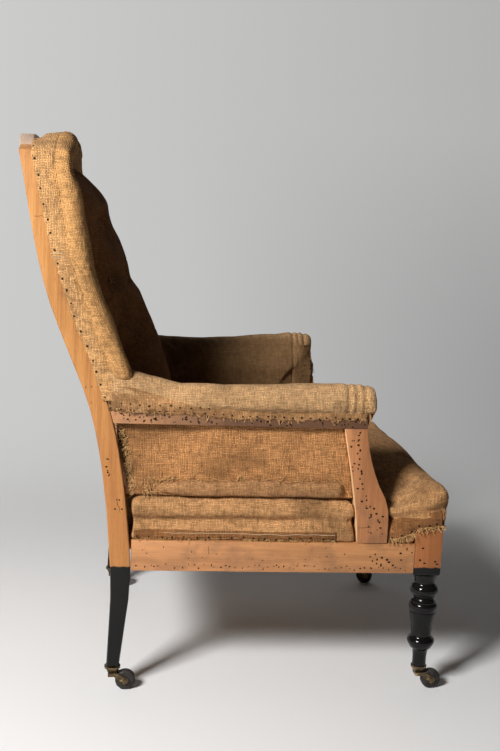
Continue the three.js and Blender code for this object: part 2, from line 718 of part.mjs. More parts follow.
// Deep back pad with two rows of tufts.
function backPad() {
  const columns = 20;
  const rows = 22;
  const wide = rearHalfWidth - rollWidth - 1.5;
  const narrow = rearHalfWidth - armPadInner - 4;
  const fullness = smoothPath([
    [railTop, backThickness],
    [blend(armRailBottom, postTop, 0.4), backThickness],
    [blend(armRailBottom, postTop, 0.64), blend(backThickness, backTopThickness, 0.24)],
    [blend(armRailBottom, postTop, 0.8), blend(backThickness, backTopThickness, 0.4)],
    [blend(armRailBottom, postTop, 0.87), blend(backThickness, backTopThickness, 0.58)],
    [blend(armRailBottom, postTop, 0.94), backTopThickness],
    [postTop, backTopThickness - 12],
  ]);
  const tuftRows = [
    [blend(armRailBottom, postTop, 0.51), [-0.66, -0.22, 0.22, 0.66]],
    [blend(armRailBottom, postTop, 0.728), [-0.44, 0, 0.44]],
  ];
  const dent = (y, z) => {
    let depth = 0;
    for (const [row, places] of tuftRows) {
      const crease = 0.36 * tuftDepth * Math.exp(-(((z - row) / 15) ** 2));
      let button = 0;
      for (const s of places) {
        const d2 = ((y - s * wide) / 24) ** 2 + ((z - row) / 22) ** 2;
        button = Math.max(button, tuftDepth * Math.exp(-d2));
      }
      depth += Math.max(crease, button);
    }
    return depth;
  };
  const frontGrid = [];
  const rearGrid = [];
  for (let r = 0; r <= rows; r += 1) {
    for (let c = 0; c <= columns; c += 1) {
      const s = -1 + (2 * c) / columns;
      const t = r / rows;
      const level = blend(seatTop(130, s * narrow) + 4, rollInnerTop(s * narrow), t);
      const spread = clamp01((level - rollFoot) / 28);
      const y = s * blend(narrow, wide, spread * spread * (3 - 2 * spread));
      const top = rollInnerTop(y) - 3;
      const zFront = blend(seatTop(130, y) + 4, top, t);
      const zRear = blend(seatTop(0, y) + 4, top, t);
      const edge = (1 - Math.abs(s) ** 2.2) * (1 - 0.55 * Math.max(0, 1 - 7 * t) ** 2);
      const rim = Math.min(fullness(zFront), 0.78 * rollDepth);
      const thick = blend(rim, fullness(zFront), edge) - dent(y, zFront) * (1 - Math.abs(s) ** 4);
      frontGrid.push(new THREE.Vector3(postFrontAt(zFront) + softGap + thick, y, zFront));
      rearGrid.push(new THREE.Vector3(postFrontAt(zRear) + softGap + 0.6, y, zRear));
    }
  }
  const wideCount = columns + 1;
  const half = frontGrid.length;
  const triangles = [];
  for (let r = 0; r < rows; r += 1) {
    for (let c = 0; c < columns; c += 1) {
      const a = r * wideCount + c;
      const b = a + wideCount;
      triangles.push([a, a + 1, b + 1], [a, b + 1, b]);
      triangles.push([half + a, half + b + 1, half + a + 1], [half + a, half + b, half + b + 1]);
    }
  }
  const border = [];
  for (let c = 0; c < columns; c += 1) border.push(c);
  for (let r = 0; r < rows; r += 1) border.push(r * wideCount + columns);
  for (let c = columns; c > 0; c -= 1) border.push(rows * wideCount + c);
  for (let r = rows; r > 0; r -= 1) border.push(r * wideCount);
  border.forEach((a, i) => {
    const b = border[(i + 1) % border.length];
    triangles.push([a, half + a, half + b], [a, half + b, b]);
  });
  return closedGeometry([...frontGrid, ...rearGrid], orient(triangles));
}
addMesh(chair, 'back_pad', backPad(), hessian);

// Arm pad: a roll over the arm rail that runs down inside the arm to the seat.
function armPad() {
  const g = 2 * fitGap;
  const w = armRailWidth;
  const o = armPadOverhang;
  const inner = armPadInner;
  const low = armRailTop - 0.37 * armRailHeight;
  const rise = (t) => armRailTop + t * armPadRise;
  const foot = seatSideHeight + 6;
  const section = [
    [-3, low], [-0.5 * o, rise(0)], [-0.92 * o, rise(0.22)], [-o, rise(0.48)], [-0.6 * o, rise(0.8)],
    [0.03 * w, rise(0.97)], [0.3 * w, rise(1)], [0.66 * w, rise(0.9)], [w, rise(0.73)],
    [blend(w, inner, 0.6), rise(0.46)], [blend(w, inner, 0.9), rise(0.12)], [inner - 2, blend(foot, armRailTop, 0.72)],
    [inner - 5, blend(foot, armRailTop, 0.35)], [inner - 10, foot + 1], [w + 7, foot], [w + g, foot + 9],
    ...[0.3, 0.55, 0.78].map((t) => [w + g, blend(foot, armRailTop, t)]),
    [w + g, rise(0) + g], [-g, rise(0) + g], [-g, low + 0.5],
  ];
  const stations = [0, 0.06, 0.16, 0.3, 0.45, 0.6, 0.75, 0.88, 0.95, 0.985, 1];
  const rings = stations.map((t) => {
    const close = t > 0.95 ? (t - 0.95) / 0.05 : 0;
    return section.map(([h, z], i) => {
      const hug = i === 0 || i > 14;
      const soft = hug ? 0 : close * close;
      const inset = blend(h, w * 0.6, 0.14 * soft);
      const slump = armPadSag * Math.sin(Math.PI * clamp01(t * 1.25)) - 5 * Math.max(0, 1 - 8 * t);
      const share = clamp01((z - rise(0.1)) / (0.9 * armPadRise));
      const level = z - slump * share - 9 * soft * share;
      const turnIn = armPadEndRound * clamp01((h - 0.3 * w) / (inner - 0.3 * w)) ** 2;
      const x = blend(postFrontAt(level) + softGap + 5, armPadFront - turnIn, t);
      return new THREE.Vector3(x, -outer(x) + inset, level);
    });
  });
  return loft(rings, ringOutline(section));
}
addPair('arm_pad', armPad(), hessian);

// Lattice of crossing bands, one layer thick: bands at us cross bands at vs and all run on to the given ends.
function lattice(us, vs, uEnds, vEnds, parts, place) {
  const half = webWidth / 2;
  const lines = (centres, ends, count) => {
    const plain = [ends[0], ...centres.flatMap((c) => [c - half, c + half]), ends[1]];
    const steps = plain.slice(0, -1).flatMap((a, i) => (
      Array.from({ length: count }, (_, k) => blend(a, plain[i + 1], k / count))
    ));
    return [...steps, ends[1]];
  };
  const u = lines(us, uEnds, parts);
  const v = lines(vs, vEnds, 1);
  const inBand = (centres, a, b) => centres.some((c) => Math.abs((a + b) / 2 - c) < half);
  const filled = (i, j) => (
    i >= 0 && j >= 0 && i + 1 < u.length && j + 1 < v.length
    && (inBand(us, u[i], u[i + 1]) || inBand(vs, v[j], v[j + 1]))
  );
  const points = [];
  const known = new Map();
  const corner = (i, j, layer) => {
    const key = `${i}_${j}_${layer}`;
    if (!known.has(key)) {
      known.set(key, points.length);
      points.push(place(u[i], v[j], layer * webThickness));
    }
    return known.get(key);
  };
  const triangles = [];
  const quad = (a, b, c, d) => triangles.push([a, b, c], [a, c, d]);
  const wall = ([i, j], [k, l]) => quad(corner(i, j, 0), corner(k, l, 0), corner(k, l, 1), corner(i, j, 1));
  for (let i = 0; i + 1 < u.length; i += 1) {
    for (let j = 0; j + 1 < v.length; j += 1) {
      if (!filled(i, j)) continue;
      for (const layer of [0, 1]) {
        quad(corner(i, j, layer), corner(i + 1, j, layer), corner(i + 1, j + 1, layer), corner(i, j + 1, layer));
      }
      if (!filled(i - 1, j)) wall([i, j], [i, j + 1]);
      if (!filled(i + 1, j)) wall([i + 1, j], [i + 1, j + 1]);
      if (!filled(i, j - 1)) wall([i, j], [i + 1, j]);
      if (!filled(i, j + 1)) wall([i, j + 1], [i + 1, j + 1]);
    }
  }
  return closedGeometry(points, orient(triangles));
}

// Places of the seat springs, as shares of the seat depth and of its inner half width.
const springRows = [['rear', 0.25], ['middle', 0.5], ['front', 0.755]];
const springColumns = [['right', -0.48], ['centre', 0], ['left', 0.48]];

// Webbing under the seat: a flat lattice tacked below the rails, crossing under the springs.
const webTop = railBottom - fitGap;
function seatWebbing() {
  const along = springColumns.map(([, t]) => t * blockInner);
  const across = springRows.map(([, t]) => t * seatFrameDepth);
  const reach = rearHalfWidth - 6;
  const place = (x, y, up) => new THREE.Vector3(x, y, webTop - webThickness + up);
  return lattice(across, along, [rearRailFace - 24, blockFront - 6], [-reach, reach], 1, place);
}
addMesh(chair, 'seat_webbing', seatWebbing(), webbing);

// Webbing across the back, lying on the front of the posts and rails.
function backWebbing() {
  const upper = [0, 0.33, 0.66, 1].map((t) => blend(armRailTop + webWidth, postTop - webWidth - 10, t));
  const levels = [armRailBottom - webWidth, ...upper];
  const places = [-0.55, 0, 0.55].map((t) => t * postInner);
  const reach = rearHalfWidth - tackRailInset - 4;
  const place = (z, y, out) => new THREE.Vector3(postFrontAt(z) + webGap + out, y, z);
  return lattice(levels, places, [railTop + backRailRise + 4, postTop - 16], [-reach, reach], 2, place);
}
addMesh(chair, 'back_webbing', backWebbing(), webbing);

// Waisted coil springs standing on the crossings of the seat webbing.
class Coil extends THREE.Curve {
  constructor(height) {
    super();
    this.height = height;
  }

  getPoint(t, target = new THREE.Vector3()) {
    const angle = 2 * Math.PI * springTurns * t;
    const radius = blend(springWaist, springRadius, Math.abs(2 * t - 1) ** 1.3);
    return target.set(radius * Math.cos(angle), radius * Math.sin(angle), this.height * t);
  }
}

const springHeight = railTop + wellHeight - webTop - springWire - 2 * fitGap;
function springGeometry() {
  const corners = Array.from({ length: 5 }, (_, i) => (2 * Math.PI * i) / 5);
  const wire = new THREE.Shape(ringOutline(corners.map((a) => [
    (Math.cos(a) * springWire) / 2,
    (Math.sin(a) * springWire) / 2,
  ])));
  return new THREE.ExtrudeGeometry(wire, {
    steps: springTurns * 7,
    bevelEnabled: false,
    extrudePath: new Coil(springHeight),
  });
}
for (const [row, along] of springRows) {
  for (const [column, across] of springColumns) {
    const spring = addMesh(chair, `spring_${row}_${column}`, springGeometry(), springSteel);
    spring.position.set(along * seatFrameDepth, across * blockInner, webTop + fitGap + springWire / 2);
  }
}

// Centre the chair on its footprint, wheels on the floor.
const group = new THREE.Group();
group.name = 'sagging_armchair';
group.add(chair);
group.updateMatrixWorld(true);
const bounds = new THREE.Box3().setFromObject(group, true);
chair.position.set(-(bounds.min.x + bounds.max.x) / 2, -(bounds.min.y + bounds.max.y) / 2, -bounds.min.z);
group.updateMatrixWorld(true);

export default group;
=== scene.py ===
"""A sagging old armchair stripped back to its hessian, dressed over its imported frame."""
import logging
import math
import random
from collections.abc import Callable, Sequence
from dataclasses import dataclass, field
from enum import Enum
from itertools import product

import bmesh
import bpy
import numpy as np
from bpy.types import Material, Mesh, NodeSocket, NodeTree, Object
from mathutils import Matrix, Vector, noise
from mathutils.bvhtree import BVHTree


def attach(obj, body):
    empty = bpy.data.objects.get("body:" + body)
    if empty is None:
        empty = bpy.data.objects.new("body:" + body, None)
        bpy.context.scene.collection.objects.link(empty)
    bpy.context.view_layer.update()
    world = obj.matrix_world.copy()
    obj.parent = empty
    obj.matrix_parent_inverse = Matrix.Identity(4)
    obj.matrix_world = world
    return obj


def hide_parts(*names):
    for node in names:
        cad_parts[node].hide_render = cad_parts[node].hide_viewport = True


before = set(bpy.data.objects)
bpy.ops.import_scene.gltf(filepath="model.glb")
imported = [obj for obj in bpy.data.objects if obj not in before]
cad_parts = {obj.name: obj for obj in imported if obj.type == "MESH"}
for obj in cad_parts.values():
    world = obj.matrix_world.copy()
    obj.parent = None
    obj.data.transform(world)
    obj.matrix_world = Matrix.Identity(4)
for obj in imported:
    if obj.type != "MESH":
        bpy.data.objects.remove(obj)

LOG = logging.getLogger("armchair")
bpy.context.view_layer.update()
CLOTH_THICKNESS = 0.0009
BESIDE = 0.6
BESIDE_REACH = 0.37
OUTSIDE = 0.35
OUTSIDE_REACH = 0.43
AHEAD = Vector((1, 0, 0))
Colour = tuple[float, float, float]
Flat = tuple[float, float]
Row = tuple[Vector, Vector, Vector]


class Side(Enum):
    """The two sides of the chair, as the sign of Y."""

    RIGHT = -1
    LEFT = 1

    @property
    def word(self) -> str:
        """The side's name as the frame's nodes spell it."""
        return self.name.lower()

    @property
    def out(self) -> Vector:
        """The direction away from the chair on this side."""
        return Vector((0, self.value, 0))


class Grain(Enum):
    """Which way the grain of a piece of timber runs."""

    ALONG = "X"
    ACROSS = "Y"
    UPRIGHT = "Z"


def blend(a: float, b: float, t: float) -> float:
    """The value a share t of the way from a to b."""
    return a + (b - a) * t


def clamp(t: float) -> float:
    """t held between 0 and 1."""
    return max(0.0, min(1.0, t))


def along(points: Sequence[Flat], at: float) -> float:
    """Reads a value off a broken line."""
    return float(np.interp(at, [p[0] for p in points], [p[1] for p in points]))


def node_copy(node: str) -> bmesh.types.BMesh:
    """Copies a frame node's mesh and merges its loose triangles.

    Args:
        node: name of the frame node.

    Returns:
        A closed bmesh of the node.
    """
    bm = bmesh.new()
    bm.from_mesh(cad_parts[node].data)
    bmesh.ops.remove_doubles(bm, verts=bm.verts, dist=2e-5)
    return bm


def piece(name: str, bm: bmesh.types.BMesh, material: Material, smooth: bool = True) -> Object:
    """Makes an object at the origin from a bmesh, and frees the bmesh.

    Args:
        name: the piece's name.
        bm: its shape.
        material: its finish.
        smooth: whether its faces are shaded smooth.

    Returns:
        The new object, linked to the scene.
    """
    mesh = bpy.data.meshes.new(name)
    bm.to_mesh(mesh)
    bm.free()
    mesh.materials.clear()
    mesh.materials.append(material)
    mesh.polygons.foreach_set("use_smooth", [smooth] * len(mesh.polygons))
    mesh.polygons.foreach_set("material_index", [0] * len(mesh.polygons))
    obj = bpy.data.objects.new(name, mesh)
    bpy.context.scene.collection.objects.link(obj)
    return obj


def evaluated(obj: Object) -> Mesh:
    """A new mesh of an object with its modifiers applied."""
    graph = bpy.context.evaluated_depsgraph_get()
    return bpy.data.meshes.new_from_object(obj.evaluated_get(graph), depsgraph=graph)


def discard(obj: Object) -> None:
    """Removes a working object and its mesh.

    Args:
        obj: the object to remove.
    """
    mesh = obj.data
    bpy.data.objects.remove(obj)
    bpy.data.meshes.remove(mesh)


def face_out(bm: bmesh.types.BMesh, way: Vector) -> None:
    """Turns a sheet's faces over where most of them look away from a direction.

    Args:
        bm: the sheet.
        way: where its faces should look.
    """
    bm.normal_update()
    if sum(f.normal.dot(way) for f in bm.faces) < 0:
        bmesh.ops.reverse_faces(bm, faces=bm.faces)


def grid(bm: bmesh.types.BMesh, across: int, down: int) -> list[tuple[bmesh.types.BMVert, float, float]]:
    """Adds a flat grid to a form, to be bent to shape."""
    made = bmesh.ops.create_grid(bm, x_segments=across, y_segments=down, size=0.5)["verts"]
    return [(v, v.co.x + 0.5, v.co.y + 0.5) for v in made]


def thicken(obj: Object, name: str, thickness: float, offset: float) -> None:
    """Gives a sheet its thickness.

    Args:
        obj: the sheet.
        name: the modifier's name.
        thickness: in metres.
        offset: -1 to grow inwards, 0 to grow both ways.
    """
    wall = obj.modifiers.new(name, "SOLIDIFY")
    wall.thickness = thickness
    wall.offset = offset


def lay_weave(mesh: Mesh, lean: Callable[[float], float] | None = None) -> None:
    """Gives a mesh a UV map in metres, flat on the main direction of each face.

    Args:
        mesh: the cloth's mesh.
        lean: how far forward the cloth has moved at a height, for cloth that leans with the back.
    """
    layer = mesh.uv_layers.new(name="weave")
    co = np.zeros(len(mesh.vertices) * 3)
    mesh.vertices.foreach_get("co", co)
    co = co.reshape(-1, 3)
    if lean is not None:
        co[:, 0] -= np.array([lean(z) for z in co[:, 2]])
    corner = np.zeros(len(mesh.loops), int)
    mesh.loops.foreach_get("vertex_index", corner)
    normal = np.zeros(len(mesh.polygons) * 3)
    mesh.polygons.foreach_get("normal", normal)
    total = np.zeros(len(mesh.polygons), int)
    mesh.polygons.foreach_get("loop_total", total)
    axis = np.repeat(np.abs(normal.reshape(-1, 3)).argmax(1), total)
    spot = co[corner]
    u = np.where(axis == 0, spot[:, 1], spot[:, 0])
    v = np.where(axis == 2, spot[:, 1], spot[:, 2])
    layer.data.foreach_set("uv", np.stack([u, v], 1).ravel())


class Skin:
    """The outer surface of some finished pieces, to place trimmings on."""

    def __init__(self, pieces: Sequence[Object]) -> None:
        """Gathers the pieces' finished meshes.

        Args:
            pieces: the finished pieces.
        """
        bpy.context.view_layer.update()
        graph = bpy.context.evaluated_depsgraph_get()
        self.trees = [BVHTree.FromObject(obj, graph) for obj in pieces]

    def hit(self, origin: Vector, direction: Vector, reach: float = 4.0) -> tuple[Vector, Vector] | None:
        """Finds the first surface along a ray.

        Args:
            origin: where the ray starts.
            direction: where it goes.
            reach: how far it goes.

        Returns:
            The point and the outward normal there, or None where nothing is hit.
        """
        best = None
        for tree in self.trees:
            spot, normal, _, far = tree.ray_cast(origin, direction, reach)
            if spot is not None and (best is None or far < best[2]):
                best = (spot, normal if normal.dot(direction) < 0 else -normal, far)
        return None if best is None else best[:2]

    def beside(self, x: float, z: float, side: Side) -> tuple[Vector, Vector] | None:
        """The surface met from one side of the chair at a place and height."""
        return self.hit(Vector((x, side.value * BESIDE, z)), -side.out, BESIDE_REACH)


class Wiring:
    """Adds and joins the nodes of one node tree."""

    def __init__(self, tree: NodeTree) -> None:
        """Takes the tree to work in."""
        self.tree = tree

    def feed(self, node: bpy.types.Node, values: dict) -> None:
        """Sets or links some of a node's inputs.

        Args:
            node: the node.
            values: input name or number to a socket, which is linked, or to a plain value.
        """
        for key, value in values.items():
            if isinstance(value, NodeSocket):
                self.tree.links.new(value, node.inputs[key])
            else:
                node.inputs[key].default_value = value

    def add(self, kind: str, values: dict | None = None, **settings: object) -> bpy.types.Node:
        """Adds a node.

        Args:
            kind: the node's type.
            values: input name or number to a socket, which is linked, or to a plain value.
            settings: the node's own properties.

        Returns:
            The new node.
        """
        node = self.tree.nodes.new(kind)
        for key, value in settings.items():
            setattr(node, key, value)
        self.feed(node, values or {})
        return node

    def maths(self, operation: str, *terms: object) -> NodeSocket:
        """One sum of a Math node."""
        return self.add("ShaderNodeMath", dict(enumerate(terms)), operation=operation).outputs[0]

    def mix(self, share: object, a: object, b: object) -> NodeSocket:
        """Mixes two colours, given as sockets or as colours with three numbers.

        Args:
            share: how much of the second, from 0 to 1.
            a: the first colour.
            b: the second colour.

        Returns:
            The mixed colour's socket.
        """
        full = [c if isinstance(c, NodeSocket) else (*c, 1.0) for c in (a, b)]
        values = {0: share, 6: full[0], 7: full[1]}
        return self.add("ShaderNodeMix", values, data_type="RGBA").outputs[2]

    def spread(self, value: object, low: object, high: object, to_low: float = 0.0, to_high: float = 1.0) -> NodeSocket:
        """Stretches a value from one range to another, and holds it there."""
        sockets = {0: value, 1: low, 2: high, 3: to_low, 4: to_high}
        return self.add("ShaderNodeMapRange", sockets, clamp=True).outputs[0]

    def noise(self, vector: NodeSocket, scale: object, detail: float = 3.0, rough: float = 0.5) -> NodeSocket:
        """The value of a noise texture."""
        values = {"Vector": vector, "Scale": scale, "Detail": detail, "Roughness": rough}
        return self.add("ShaderNodeTexNoise", values).outputs[0]

    def mapped(self, vector: NodeSocket, scale: Sequence[float], turn: Sequence[float] = (0, 0, 0)) -> NodeSocket:
        """A vector turned and stretched by a Mapping node."""
        return self.add("ShaderNodeMapping", {"Vector": vector, "Rotation": turn, "Scale": scale}).outputs[0]


def group(name: str, numbers: Sequence[str], outputs: Sequence[str]) -> tuple[Wiring, dict, bpy.types.Node]:
    """Starts a shader node group that is read at a Vector.

    Args:
        name: the group's name.
        numbers: names of its inputs beside the vector.
        outputs: names of its outputs, all numbers.

    Returns:
        The group's wiring, its input sockets and its output node.
    """
    tree = bpy.data.node_groups.new(name, "ShaderNodeTree")
    tree.interface.new_socket(name="Vector", in_out="INPUT", socket_type="NodeSocketVector")
    for way, keys in (("INPUT", numbers), ("OUTPUT", outputs)):
        for key in keys:
            tree.interface.new_socket(name=key, in_out=way, socket_type="NodeSocketFloat")
    start = tree.nodes.new("NodeGroupInput").outputs
    return Wiring(tree), {key: start[key] for key in ("Vector", *numbers)}, tree.nodes.new("NodeGroupOutput")


def weave_group() -> NodeTree:
    """Plain weave of slubby yarns.

    Returns:
        A group with Height, Tone of each yarn and Gap between yarns.
    """
    w, start, end = group("plain weave", ("Pitch",), ("Height", "Tone", "Gap"))
    place = start["Vector"]
    for fineness, stray in ((60.0, 0.005), (330.0, 0.0015)):
        wander = w.add("ShaderNodeTexNoise", {"Vector": start["Vector"], "Scale": fineness, "Detail": 2.0}).outputs[1]
        moved = w.add("ShaderNodeVectorMath", {0: wander, 1: (0.5, 0.5, 0.5)}, operation="SUBTRACT").outputs[0]
        moved = w.add("ShaderNodeVectorMath", {0: moved, 3: stray}, operation="SCALE").outputs[0]
        place = w.add("ShaderNodeVectorMath", {0: place, 1: moved}, operation="ADD").outputs[0]
    split = w.add("ShaderNodeSeparateXYZ", {0: place}).outputs
    u = w.maths("DIVIDE", split[0], start["Pitch"])
    v = w.maths("DIVIDE", split[1], start["Pitch"])
    across = w.maths("SINE", w.maths("MULTIPLY", w.maths("FRACT", u), math.pi))
    down = w.maths("SINE", w.maths("MULTIPLY", w.maths("FRACT", v), math.pi))
    step = w.maths("ADD", w.maths("FLOOR", u), w.maths("FLOOR", v))
    over = w.maths("GREATER_THAN", w.maths("FRACT", w.maths("MULTIPLY", step, 0.5)), 0.25)
    warp = w.maths("MULTIPLY", across, w.maths("MULTIPLY_ADD", down, 0.45, 0.55))
    weft = w.maths("MULTIPLY", down, w.maths("MULTIPLY_ADD", across, 0.45, 0.55))
    height = w.maths("ADD", w.maths("MULTIPLY", warp, over), w.maths("MULTIPLY", weft, w.maths("SUBTRACT", 1.0, over)))
    streaks = []
    for along_yarn, yarn in ((v, u), (u, v)):
        spot = w.add("ShaderNodeCombineXYZ", {0: w.maths("FLOOR", yarn), 1: w.maths("MULTIPLY", along_yarn, 0.12)})
        streaks.append(w.noise(spot.outputs[0], 1.0, 1.0))
    picked = w.add("ShaderNodeMix", {0: over, 2: streaks[1], 3: streaks[0]}, data_type="FLOAT").outputs[0]
    crossed = [w.noise(w.mapped(place, stretch), 1.0, 3.0, 0.7) for stretch in ((36.0, 390.0, 1.0), (390.0, 36.0, 1.0))]
    uneven = w.maths("MULTIPLY_ADD", picked, 0.8, w.maths("ADD", *crossed))
    gap = w.spread(w.maths("MULTIPLY", across, down), 0.0, 0.38, 1.0, 0.0)
    w.feed(end, {"Height": height, "Tone": w.spread(uneven, 1.14, 1.66), "Gap": gap})
    return w.tree


def grain_group() -> NodeTree:
    """Plain beech: long soft streaks with short darker flecks.

    Returns:
        A group with Streak, Fleck and Height, for a vector whose X runs along the grain.
    """
    w, start, end = group("beech grain", (), ("Streak", "Fleck", "Height"))
    streak = w.noise(w.mapped(start["Vector"], (1.6, 34.0, 34.0)), 2.2, 4.0, 0.55)
    fine = w.noise(w.mapped(start["Vector"], (5.0, 190.0, 190.0)), 2.0, 3.0, 0.6)
    fleck = w.noise(w.mapped(start["Vector"], (60.0, 420.0, 420.0)), 1.6, 1.0)
    both = w.maths("ADD", w.maths("MULTIPLY", streak, 0.62), w.maths("MULTIPLY", fine, 0.38))
    height = w.maths("SUBTRACT", both, w.maths("MULTIPLY", fleck, 0.25))
    w.feed(end, {"Streak": w.spread(both, 0.3, 0.7), "Fleck": w.spread(fleck, 0.58, 0.72), "Height": height})
    return w.tree


def grime_group() -> NodeTree:
    """Uneven patches of dirt and water stain.

    Returns:
        A group with a Mask that grows with Amount.
    """
    w, start, end = group("grime", ("Scale", "Amount"), ("Mask",))
    broad = w.noise(start["Vector"], start["Scale"], 5.0, 0.62)
    floor = w.maths("SUBTRACT", 0.73, w.maths("MULTIPLY", start["Amount"], 0.5))
    w.feed(end, {"Mask": w.spread(broad, floor, w.maths("ADD", floor, 0.16))})
    return w.tree


def start_material(name: str) -> tuple[Material, Wiring, bpy.types.Node]:
    """Starts a node material.

    Args:
        name: the finish's name.

    Returns:
        The material, its wiring and its Principled shader.
    """
    material = bpy.data.materials.new(name)
    material.use_nodes = True
    w = Wiring(material.node_tree)
    shader = material.node_tree.nodes["Principled BSDF"]
    return material, w, shader


def bump(w: Wiring, height: NodeSocket, distance: float, strength: float, shader: bpy.types.Node) -> None:
    """Feeds a height through a Bump node to a shader's normal."""
    node = w.add("ShaderNodeBump", {"Height": height, "Distance": distance, "Strength": strength})
    w.tree.links.new(node.outputs[0], shader.inputs["Normal"])


@dataclass
class Effects:
    """The shader groups that several finishes share."""

    weave: NodeTree = field(default_factory=weave_group)
    grain: NodeTree = field(default_factory=grain_group)
    grime: NodeTree = field(default_factory=grime_group)

    def dirt(self, w: Wiring, spot: NodeSocket, scale: float, amount: float) -> NodeSocket:
        """Patches of dirt in a material."""
        values = {"Vector": spot, "Scale": scale, "Amount": amount}
        return w.add("ShaderNodeGroup", values, node_tree=self.grime).outputs["Mask"]


@dataclass(frozen=True)
class Hessian:
    """Coarse jute cloth, faded and stained, with painted shade on its inner faces where a limit is set."""

    name: str
    pale: Colour = (0.75, 0.395, 0.145)
    deep: Colour = (0.27, 0.142, 0.053)
    stain: Colour = (0.1, 0.048, 0.019)
    stained: float = 0.34
    pitch: float = 0.0027
    patchy: float = 0.5
    dark_within: float | None = None

    def make(self, shared: Effects) -> Material:
        """Builds the cloth's material from the shared effects.

        Args:
            shared: the node groups that the finishes share.

        Returns:
            The new material.
        """
        material, w, shader = start_material(self.name)
        uv = w.add("ShaderNodeUVMap", None, uv_map="weave").outputs[0]
        spot = w.add("ShaderNodeTexCoord").outputs["Object"]
        cloth = w.add("ShaderNodeGroup", {"Vector": uv, "Pitch": self.pitch}, node_tree=shared.weave)
        drift = w.spread(w.noise(spot, 11.0, 4.0, 0.6), 0.3, 0.72)
        woven = w.maths("MULTIPLY", cloth.outputs["Tone"], 1.2 - 0.8 * self.patchy)
        tone = w.maths("MULTIPLY_ADD", drift, self.patchy, woven)
        slub = w.spread(w.noise(spot, 110.0, 3.0, 0.65), 0.36, 0.66, -0.5, 0.5)
        tone = w.maths("MULTIPLY_ADD", slub, self.patchy, w.maths("SUBTRACT", tone, 0.1 * self.patchy))
        colour = w.mix(tone, self.deep, self.pale)
        colour = w.mix(w.maths("MULTIPLY", cloth.outputs["Gap"], 0.75), colour, self.stain)
        dirt = shared.dirt(w, spot, 7.5, self.stained)
        colour = w.mix(w.maths("MULTIPLY", dirt, 0.6), colour, self.stain)
        # Painted shade: cloth within the given distance of the middle in Y turns darker towards the stain colour,
        # standing in for the shade on the inner faces of the arms.
        if self.dark_within is not None:
            away = w.maths("ABSOLUTE", w.add("ShaderNodeSeparateXYZ", {0: spot}).outputs[1])
            inner_shade = w.spread(away, self.dark_within, self.dark_within + 0.02, 0.62, 0.0)
            colour = w.mix(inner_shade, colour, self.stain)
        w.feed(shader, {
            "Base Color": colour, "Roughness": 0.95, "Sheen Weight": 0.03, "Sheen Roughness": 0.6,
            "Specular IOR Level": 0.06,
        })
        fuzz = w.noise(spot, 900.0, 2.0)
        height = w.maths("ADD", cloth.outputs["Height"], w.maths("MULTIPLY", fuzz, 0.5))
        bump(w, height, 0.0011, 0.9, shader)
        return material


@dataclass(frozen=True)
class Darkening:
    """A slow change to a darker tone along a timber: from a place on an axis to where it is full."""

    axis: int
    start: float
    full: float
    share: float
    tone: Colour


